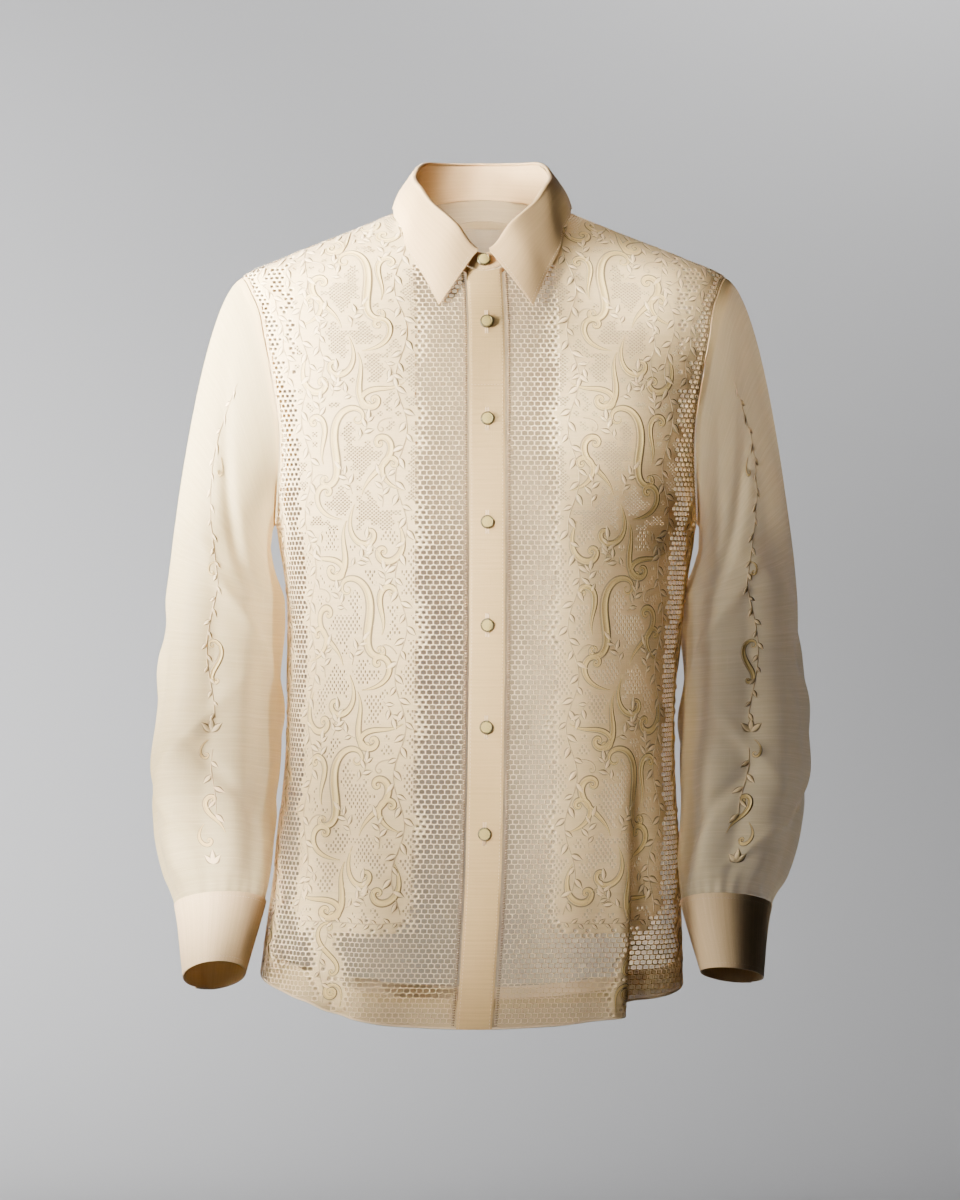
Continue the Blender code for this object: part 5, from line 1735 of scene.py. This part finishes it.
def crease_push(side, rounds, along):
    """How far the creases, long folds and gathers move the sleeve's surface out. The two sleeves differ
    a little: the fine creases of one are a few degrees further round."""
    push = np.zeros(np.broadcast(rounds, along).shape)
    for rows, turn, down, narrow, strong in (
        (SLEEVE_CREASES, 0.0, 0.0, 1.0, 1.0), (FINE_CREASES, 7.0, 0.02, 0.55, 1.5)
    ):
        for at, start, slope, width, length, depth in rows:
            away = (rounds - at - turn * side + 180.0) % 360.0 - 180.0
            off = (along - start - down * side - slope * away) / (narrow * width)
            push = push + strong * depth * np.exp(-(off**2) / 2 - (away / length) ** 2)
    for at, width, depth in LONG_FOLDS:
        away = ((rounds - at - 14.0 * side * (along - 0.5) + 180.0) % 360.0 - 180.0) / width
        push = push + depth * np.exp(-(away**2) / 2) * ease((along - 0.25) / 0.4)
    inner = ((rounds - 172.0 + 180.0) % 360.0 - 180.0) / 42.0
    push = push + 0.0095 * np.exp(-(inner**2) - ((along - 0.44) / 0.13) ** 2)
    wave = 0.5 - 0.5 * np.cos(np.radians(GATHERS * rounds))
    near = np.clip((along - 1 + GATHER_REACH) / GATHER_REACH, 0.0, 1.0)
    fine = np.clip((along - 0.93) / 0.07, 0.0, 1.0)
    sway = rounds + 3.0 * np.sin(np.radians(rounds * 3.0))
    tucks = TUCK_RISE * (0.5 - 0.5 * np.cos(np.radians(TUCK_COUNT * sway))) * fine * fine
    return push * ease((1 - along) / 0.06) * ease(along / 0.3) - GATHER_DEPTH * wave * near * near - tucks


def sleeve_grid(side, rounds, rows, cap_rows):
    start, end, leave, arrive = sleeve_lines(side, rounds)
    lines = []
    for row in range(cap_rows):
        t = row / cap_rows
        lines.append(
            (1 + 2 * t) * (1 - t) ** 2 * start
            + t * (1 - t) ** 2 * leave
            + t * t * (3 - 2 * t) * end
            + t * t * (t - 1) * arrive
        )
    for height in np.linspace(ARMPIT_RING, CUFF_TOP, rows - cap_rows + 1):
        lines.append(arm_ring(side, rounds, np.full(len(rounds), height)))
    grid = np.array(lines)
    along = np.concatenate(
        [np.arange(cap_rows) / cap_rows * CAP_SHARE, np.linspace(CAP_SHARE, 1.0, rows - cap_rows + 1)]
    )
    out = side * grid_out(grid, loop=True)
    return grid + crease_push(side, rounds[None], along[:, None])[..., None] * out


def loop_flat(grid):
    """A flat map of a tube: distance round it from its first column, and distance down it."""
    wide = np.concatenate([grid, grid[:, :1]], axis=1)
    across = np.linalg.norm(np.diff(wide, axis=1), axis=2).cumsum(axis=1).mean(axis=0)
    down = np.linalg.norm(np.diff(grid, axis=0), axis=2).cumsum(axis=0).mean(axis=1)
    flat = np.meshgrid(np.concatenate([[0.0], across]), np.concatenate([[0.0], down]))
    return np.stack(flat, axis=-1)


SLEEVE_ROUND, SLEEVE_DOWN, CAP_DOWN = 264, 216, 84
sleeves, sleeve_areas, sleeve_grids = {}, {}, {}
for side, name in SIDES.items():
    grid = sleeve_grid(side, np.arange(SLEEVE_ROUND) * 360.0 / SLEEVE_ROUND, SLEEVE_DOWN, CAP_DOWN)
    sleeve_grids[side] = grid
    inner = grid - 0.0005 * side * grid_out(grid, loop=True)
    sleeves[side] = cloth_sheet(
        "sheer_sleeve_" + name, inner, loop_flat(grid), [jusi], loop=True, turn_over=side < 0
    )
    sleeve_areas[side] = cut_area(grid, loop=True)
print("sleeve area", round(sleeve_areas[1], 4), "m2")


# %% The vine down each sleeve
SLEEVE_SCROLLS = (
    ("curl", 26, -262, 60, 0.7, -1, 2.4),
    ("curl", 7, -338, 110, 0.7, 1, 2.4),
    ("wave", 1, -424, 84, 0.5, 1, 6.0),
    ("curl", 8, -506, 100, 0.9, 1, 3.0),
    ("hook", -4, -570, 250, 0.62, -1, 6.0),
    ("crook", 6, -588, 75, 0.55, 1, 4.5),
)


def sleeve_drape(side):
    """The front of a sleeve laid flat: the distance out from its front line, and its height."""
    rounds = np.linspace(-10.0, 190.0, 201)
    full = sleeve_grid(side, np.arange(360.0), SLEEVE_DOWN, CAP_DOWN)
    grid = full[:, rounds.astype(int) % 360]
    run = run_across(grid)
    run = run[:, 100:101] - run
    across = np.arange(-0.062, 0.062, DRAPE_STEP)
    rows = np.array(
        [[np.interp(across, row[::-1], line[::-1, k]) for k in range(3)] for row, line in zip(run, grid)]
    )
    rows = rows.transpose(0, 2, 1)
    middle = grid[:, 100]
    height = -run_along(middle)
    height += ARMPIT_RING - np.interp(ARMPIT_RING, middle[::-1, 2], height[::-1])
    down = np.arange(height[-1] + 0.001, height[0], DRAPE_STEP)
    points = np.empty((len(down), len(across), 3))
    for column in range(len(across)):
        for k in range(3):
            points[:, column, k] = np.interp(down, height[::-1], rows[::-1, column, k])
    return Drape(across, down, points, side)


def sleeve_pattern():
    work = Embroidery(lambda flat: (np.asarray(flat)[:, 1] < -168) & (np.asarray(flat)[:, 1] > -628))
    vine = wavy(0.0, -204, -478, 5.0, 150.0)
    vine[:, 0] += np.interp(-vine[:, 1], (204, 232, 270, 310, 350), (54, 46, 30, 15, 4))
    work.stem(vine, 1.2)
    work.leaves(leaves_along(vine, 5.0, 11.0, 8.5, 36.0))
    stem = wavy(-2.0, -506, -572, 3.0, 90.0)
    work.stem(stem, 1.4)
    work.leaves(leaves_along(stem, 12.0, 13.0, 12.0, 50.0))
    for shape, across, height, turn, size, flip, width in SLEEVE_SCROLLS:
        work.ribbon(placed(shape, across, height, turn, size, flip), width)
    work.flower(2, -490, 88, 13)
    for heading, reach in ((48, 12), (92, 14), (136, 12)):
        work.leaf((1, -616), heading, reach, plump=1.3)
    return work


sleeve_work = []
for side, name in SIDES.items():
    sleeve_work.append(
        sleeve_pattern().build("sleeve_vine_" + name, sleeve_drape(side), -0.0003, silks, side)
    )
print("sleeve vines:", [len(p.data.polygons) for p in sleeve_work], "faces")


# %% Sleeve head and underarm strips
for side, name in SIDES.items():
    grid = sleeve_grids[side]
    out = side * grid_out(grid, loop=True)
    rows = slice(0, 6)
    strip = grid[rows] - 0.0007 * out[rows]
    inner_face = grid[rows] - 0.0013 * out[rows]
    head = cloth_shell(
        "sleeve_head_" + name, strip, inner_face, loop_flat(grid)[rows], [edge_cloth], loop=True,
        turn_over=side < 0
    )
    inside = SLEEVE_ROUND // 2
    seam_cells = slice(inside - 20, inside + 9)
    strip, flat = grid[:, seam_cells] - 0.0009 * out[:, seam_cells], loop_flat(grid)[:, seam_cells]
    under = cloth_sheet("underarm_seam_" + name, strip, flat, [jusi], turn_over=side < 0)
print("strips at the armholes and under the arms")


# %% [markdown]
# ## Cuffs
#
# A cuff is stiff plain cloth, wrapped into a cone that narrows to the wrist and laps over itself. Its
# upper end lifts off as it nears the lap. A row of stitches runs 3 mm inside each edge.

# %% Cuffs
CUFF_LAP, CUFF_LAP_START, CUFF_LIFT = 24.0, 285.0, 43.0
PLAIN_STEP, CUFF_THICK = 0.002, 0.0013
cuffs, cuff_areas = {}, {}


def cuff_grid(side, rounds, heights, grow=0.0):
    """A face of the cuff, which lifts off its own start before it laps over it."""
    lift = (PLAIN_STEP + 2 * SEAM) * ease((rounds - CUFF_LAP_START - 360.0) / CUFF_LIFT + 1.2)
    soft = 0.0005 * np.sin(
        np.radians(rounds * 3.0 + 40.0 * side)
    ) * np.sin((heights[:, None] - CUFF_TOP) * 48.0)
    rows = [arm_ring(side, rounds, np.full(len(rounds), h), lift + grow + s) for h, s in zip(heights, soft)]
    grid = np.array(rows)
    grid[..., 2] -= 1.4 * SEAM
    return grid


def paint_shade_inside(piece, inner_face):
    """Gives the faces that look towards a piece's own middle a second, darker cloth: painted shade on the
    inside of the piece.
    """
    piece.data.materials.append(inner_face)
    middle = np.mean([v.co[:] for v in piece.data.vertices], axis=0)
    for face in piece.data.polygons:
        away = np.array(face.center) - middle
        if np.dot(away[:2], face.normal[:2]) < -0.3 * np.linalg.norm(away[:2]):
            face.material_index = 1


# The inside of a cuff is coloured darker than its outside: painted shade where the cuff's own walls keep the
# light out.
cuff_inside_shade = cloth_material(
    "cuff_inside_shade", (0.4, 0.295, 0.165), (0.52, 0.385, 0.225), 1300, 1000, 0.6, 0.00009, 0.7, 0.05, None, 0.05
)
for side, name in SIDES.items():
    rounds = np.linspace(CUFF_LAP_START, CUFF_LAP_START + 360.0 + CUFF_LAP, 241)
    heights = np.linspace(CUFF_TOP, CUFF_END, 31)
    outer, inner = cuff_grid(side, rounds, heights), cuff_grid(side, rounds, heights, -CUFF_THICK)
    run = np.linalg.norm(np.diff(outer, axis=1), axis=2).cumsum(axis=1).mean(axis=0)
    flat = np.stack(np.meshgrid(np.concatenate([[0.0], run]), -heights), axis=-1)[..., ::-1]
    cuffs[side] = cloth_shell("plain_cuff_" + name, outer, inner, flat, [cuff_cloth], turn_over=side < 0)
    paint_shade_inside(cuffs[side], cuff_inside_shade)
    cuff_areas[side] = cut_area(outer)
    out = side * grid_out(outer)
    for row in (2, -3):
        stitches.along(outer[row], out[row], *PLAIN_STITCH)
    stitches.along(outer[:, -3], out[:, -3], *PLAIN_STITCH)
print("cuff area", round(cuff_areas[1], 4), "m2")


# %% [markdown]
# ## Collar and neck band
#
# The neck band stands up from the neck seam. The collar goes over its top in a soft fold and comes down
# to its edge on the body. A few upright wrinkles run inside the band at the back, where it is pulled in.


# %% Neck seam and collar surfaces
STAND_LAP_LEFT, STAND_LAP_RIGHT, STAND_TUCK = 190.0, 187.0, 155.0
COLLAR_THICK, STAND_THICK = 0.0015, 0.0013


def neck_seam(round_neck):
    """The neck seam at an angle from centre back, positive towards the wearer's left."""
    from_side = np.abs(np.asarray(round_neck, float)) - 90.0
    folded = np.where(from_side > 90.0, 180.0 - from_side, from_side)
    level = np.where(from_side <= 0, SIDE_NECK, NECKLINE("level", np.clip(folded, 0.0, 90.0)))
    return body_point(270.0 + round_neck, level)


def stand_top(round_neck):
    """The top of the neck band, which runs smoother round the neck than the seam at its foot."""
    away = np.abs(np.asarray(round_neck, float))
    slope = (COLLAR("fold", away + 1) - COLLAR("fold", away - 1)) / (math.radians(2) * NECK_RADIUS)
    smooth = np.mean([neck_seam(round_neck + turn) for turn in (-18, -12, -6, 0, 6, 12, 18)], axis=0)
    axis = np.array([float(BODY("centre", SIDE_NECK)), 0.0, 0.0])
    top = axis + (smooth - axis) * (1 - COLLAR("lean", away)[..., None])
    top[..., 2] = COLLAR("fold", away) - FOLD_DROP * np.sqrt(1 + slope**2)
    return top


def outward_flat(points):
    """Level directions square to a line of points that runs round the neck."""
    run = np.gradient(points, axis=0)
    return unit(np.stack([-run[:, 1], run[:, 0], np.zeros(len(run))], axis=-1))


def stand_grid(rounds, rows):
    foot, top = neck_seam(rounds), stand_top(rounds)
    foot[:, 2] += 3 * SEAM
    tuck = (0.002 + 1.5 * SEAM) * ease((-rounds - STAND_TUCK) / 15.0)
    out = outward_flat(foot)
    foot -= SEAM * out
    share = np.linspace(0, 1, rows + 1)[:, None]
    ripple = 0.0013 * np.sin(
        np.radians(rounds * 11.0 + 25.0 * np.sin(np.radians(rounds * 3.0)))
    ) * np.exp(-((rounds / 62.0) ** 2))
    ripple = ripple[None] * np.sin(math.pi * np.clip(share * 0.92 + 0.04, 0, 1))
    grid = foot[None] + share[..., None] * (top - foot)[None]
    return grid - (tuck[None] + ripple)[..., None] * out[None], out


def run_flat(grid):
    """A flat map of an open strip: distance along its middle row, and distance across its middle column."""
    middle = grid[len(grid) // 2]
    side = grid[:, grid.shape[1] // 2]
    return np.stack(np.meshgrid(run_along(middle), run_along(side)), axis=-1)


rounds = np.linspace(-STAND_LAP_RIGHT, STAND_LAP_LEFT, 301)
grid, out = stand_grid(rounds, 20)
flat = run_flat(grid)
stand = cloth_shell("neck_band", grid, grid - STAND_THICK * out[None], flat, [plain], turn_over=True)
stitches.along(grid[2, 225:] + 0.0002 * out[225:], out[225:], *NECK_STITCH)


def collar_grid(rounds, rows):
    """The collar's outer face: over the fold, then down to its edge, with even rows."""
    sign = np.where(rounds < 0, -1.0, 1.0)
    top = stand_top(rounds)
    top[:, 2] = COLLAR("fold", np.abs(rounds))
    out = outward_flat(top)
    edge_round = sign * COLLAR("edge_round", np.abs(rounds))
    level = COLLAR("edge_level", np.abs(rounds))
    edge = body_point(270.0 + edge_round, level) + COLLAR_CLEAR * body_normal(270.0 + edge_round, level)
    up = np.array([0.0, 0.0, 1.0])
    lines = [top + a * out + b * up for a, b in FOLD_ROUND]
    start = lines[-1]
    for t in np.linspace(0, 1, 9)[1:]:
        lines.append(start + t * (edge - start) + COLLAR_BOW * math.sin(math.pi * t) * out)
    coarse = np.array(lines)
    run = np.linalg.norm(np.diff(coarse, axis=0), axis=2).mean(axis=1)
    run = np.concatenate([[0.0], run.cumsum()])
    at = np.concatenate([np.linspace(0, run[4], 14)[:-1], np.linspace(run[4], run[-1], rows)])
    return np.stack(
        [[smooth_curve(run, coarse[:, c, k], at) for k in range(3)] for c in range(coarse.shape[1])]
    ).transpose(2, 0, 1)


rounds = np.linspace(-COLLAR_END, COLLAR_END, 321)
grid = collar_grid(rounds, 34)
wave = 0.0006 * np.sin(np.radians(rounds * 4.0 + 30.0)) * np.cos(np.radians(rounds * 1.3))
grid[13:] += (
    np.linspace(0, 1, len(grid) - 13)[:, None] * wave[None]
)[..., None] * outward_flat(grid[13])[None]
normals = grid_out(grid)
collar = cloth_shell(
    "collar_fall", grid, grid - COLLAR_THICK * normals, run_flat(grid), [plain], turn_over=True
)
for line, out in (
    (grid[-3], normals[-3]), (grid[14:-2, 2], normals[14:-2, 2]), (grid[14:-2, -3], normals[14:-2, -3])
):
    stitches.along(line, out, *PLAIN_STITCH)
stitch_piece = stitches.build("stitches", stitch_thread)
print("stitches:", len(stitch_piece.data.polygons) // 16)


# %% [markdown]
# ## Buttons
#
# Small antique-brass buttons with a raised rim and a domed cream face. One is modelled from a cylinder
# by insetting and extruding its top, and copies of its mesh are set down the front and on the cuffs.


# %% One button
def brass_material():
    material = plain_material("antique_brass", (0.3, 0.25, 0.14), 0.38)
    tree = material.node_tree
    shader = tree.nodes["Principled BSDF"]
    shader.inputs["Metallic"].default_value = 0.85
    where = tree.nodes.new("ShaderNodeTexCoord").outputs["Object"]
    spots = noise_node(tree, where, (900.0, 900.0, 900.0), 3.0, 0.6)
    worn = range_node(tree, spots, 0.42, 0.66)
    tree.links.new(
        blend_colour(tree, worn, (0.1, 0.08, 0.04), (0.34, 0.28, 0.15)), shader.inputs["Base Color"]
    )
    tree.links.new(range_node(tree, spots, 0.3, 0.7, 0.3, 0.55), shader.inputs["Roughness"])
    return material


def face_material():
    material = plain_material("button_face", (0.46, 0.34, 0.1), 0.7)
    tree = material.node_tree
    shader = tree.nodes["Principled BSDF"]
    where = tree.nodes.new("ShaderNodeTexCoord").outputs["Object"]
    grains = noise_node(tree, where, (1400.0, 1400.0, 1400.0), 2.0, 0.6)
    tree.links.new(
        blend_colour(tree, grains, (0.3, 0.22, 0.055), (0.58, 0.43, 0.13)), shader.inputs["Base Color"]
    )
    relief = tree.nodes.new("ShaderNodeBump")
    relief.inputs["Distance"].default_value = 0.0003
    tree.links.new(grains, relief.inputs["Height"])
    tree.links.new(relief.outputs["Normal"], shader.inputs["Normal"])
    return material


def chosen_faces(mesh, keep):
    """Selects the faces of a mesh in edit mode for which keep(face) holds."""
    shape = bmesh.from_edit_mesh(mesh)
    for face in shape.faces:
        face.select_set(bool(keep(face)))
    bmesh.update_edit_mesh(mesh)


def model_button():
    """A button of radius 1 and height 0.55, lying on z = 0 with its face up."""
    bpy.ops.object.select_all(action="DESELECT")
    bpy.ops.mesh.primitive_cylinder_add(vertices=24, radius=1.0, depth=0.34, location=(0, 0, 0.17))
    button = bpy.context.active_object
    button.name = "button_model"
    bpy.ops.object.transform_apply(location=True, rotation=True, scale=True)
    bpy.ops.object.mode_set(mode="EDIT")
    bpy.ops.mesh.select_mode(type="FACE")
    chosen_faces(button.data, lambda f: f.normal.z > 0.9)
    bpy.ops.mesh.extrude_region_move(TRANSFORM_OT_translate={"value": (0, 0, 0.16)})
    bpy.ops.transform.resize(value=(0.88, 0.88, 1.0), center_override=(0, 0, 0.5))
    bpy.ops.mesh.inset(thickness=0.07, depth=0.0)
    bpy.ops.mesh.inset(thickness=0.03, depth=-0.07)
    bpy.ops.mesh.inset(thickness=0.16, depth=0.05)
    bpy.ops.mesh.inset(thickness=0.22, depth=0.035)
    bpy.ops.object.mode_set(mode="OBJECT")
    bevel = button.modifiers.new("round", "BEVEL")
    bevel.width, bevel.segments, bevel.limit_method, bevel.angle_limit = 0.035, 2, "ANGLE", math.radians(30)
    bpy.ops.object.modifier_apply(modifier=bevel.name)
    return button


model = model_button()
mesh = model.data
brass, face = brass_material(), face_material()
mesh.materials.append(brass)
mesh.materials.append(face)
for polygon in mesh.polygons:
    middle = polygon.center
    polygon.material_index = int(math.hypot(middle.x, middle.y) < 0.77 and polygon.normal.z > 0.3)
print("button:", len(mesh.polygons), "faces")


# %% Set the buttons in place
BUTTON_WIDE, CUFF_BUTTON_WIDE, BUTTON_TALL = 0.0125, 0.0105, 0.0033
STAND_BUTTON_HEIGHT = -0.0495
HOLE_HALF_TALL, HOLE_HALF_WIDE, HOLE_STITCH = 0.0105, 0.001, (0.0019, 0.00034)
BAND_BUTTON_LEVELS = (-0.109, -0.199, -0.294, -0.389, -0.483, -0.5815)


def set_button(name, seat, out, width):
    """A copy of the button, its foot at seat and its face towards out."""
    copy = bpy.data.objects.new(name, model.data.copy())
    bpy.context.collection.objects.link(copy)
    out = Vector(out).normalized()
    side = out.cross(Vector((0, 0, 1))).normalized()
    up = side.cross(out)
    turn = Matrix((side, up, out)).transposed().to_4x4()
    size = Matrix.Diagonal((width / 2, width / 2, BUTTON_TALL / 0.5, 1.0))
    copy.data.transform(Matrix.Translation(Vector(seat)) @ turn @ size)
    copy.data.shade_smooth()
    copy.data.set_sharp_from_angle(angle=math.radians(35))
    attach(copy, "root")
    return copy


buttons = []
centre, top = neck_seam(180.0), stand_top(180.0)
rise = top - centre
out = unit(np.array([0.0, -rise[2], rise[1]]))
seat = centre + (STAND_BUTTON_HEIGHT - centre[2]) / rise[2] * rise + SEAM * out
buttons.append(set_button("brass_button_1", seat, out, BUTTON_WIDE))
for k, level in enumerate(BAND_BUTTON_LEVELS):
    on, out = body_point(90.0, level), body_normal(90.0, level)
    buttons.append(set_button(f"brass_button_{k + 2}", on + (SEAM + BAND_THICK) * out, out, BUTTON_WIDE))
cuff_buttons = []
for side, name in SIDES.items():
    near = CUFF_LAP_START + 360.0 + CUFF_LAP / 2 + np.linspace(-2.0, 2.0, 3)
    grid = cuff_grid(side, near, np.linspace(CUFF_TOP, CUFF_END, 3))
    out = side * grid_out(grid)[1, 1]
    cuff_buttons.append(set_button("cuff_brass_" + name, grid[1, 1], out, CUFF_BUTTON_WIDE))
bpy.data.objects.remove(model, do_unlink=True)
print(len(buttons), "buttons on the front and", len(cuff_buttons), "on the cuffs")


# %% Buttonholes
holes = Stitches()
for level in BAND_BUTTON_LEVELS:
    down = level + np.linspace(-HOLE_HALF_TALL, HOLE_HALF_TALL, 25)
    for edge in (-1.0, 1.0):
        turn = np.degrees(np.arctan(edge * HOLE_HALF_WIDE / BODY("front", down)))
        angle = front_angle(turn)
        on, out = body_point(angle, down), body_normal(angle, down)
        across = unit(body_point(angle + 0.3, down) - body_point(angle - 0.3, down))
        holes.bars(on + (SEAM + BAND_THICK + 0.0002) * out, across, out, *HOLE_STITCH)
buttonholes = holes.build("buttonholes", stitch_thread)
print("buttonholes:", len(BAND_BUTTON_LEVELS))


# %% [markdown]
# ## The solids that the pieces replace
#
# Every piece rides on the shirt's one body. Each replaces the solids it covers, which are hidden.

# %% Hide the solids that the pieces replace
for side, name in SIDES.items():
    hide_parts("front_" + name)
    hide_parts("sleeve_" + name)
    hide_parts("cuff_" + name)
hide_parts("back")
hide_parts("yoke")
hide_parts("placket")
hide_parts("placket_top")
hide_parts("collar_stand")
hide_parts("collar")
for k, piece in enumerate(buttons):
    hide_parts(f"button_{k + 1}")
for name, piece in zip(SIDES.values(), cuff_buttons):
    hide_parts("cuff_button_" + name)
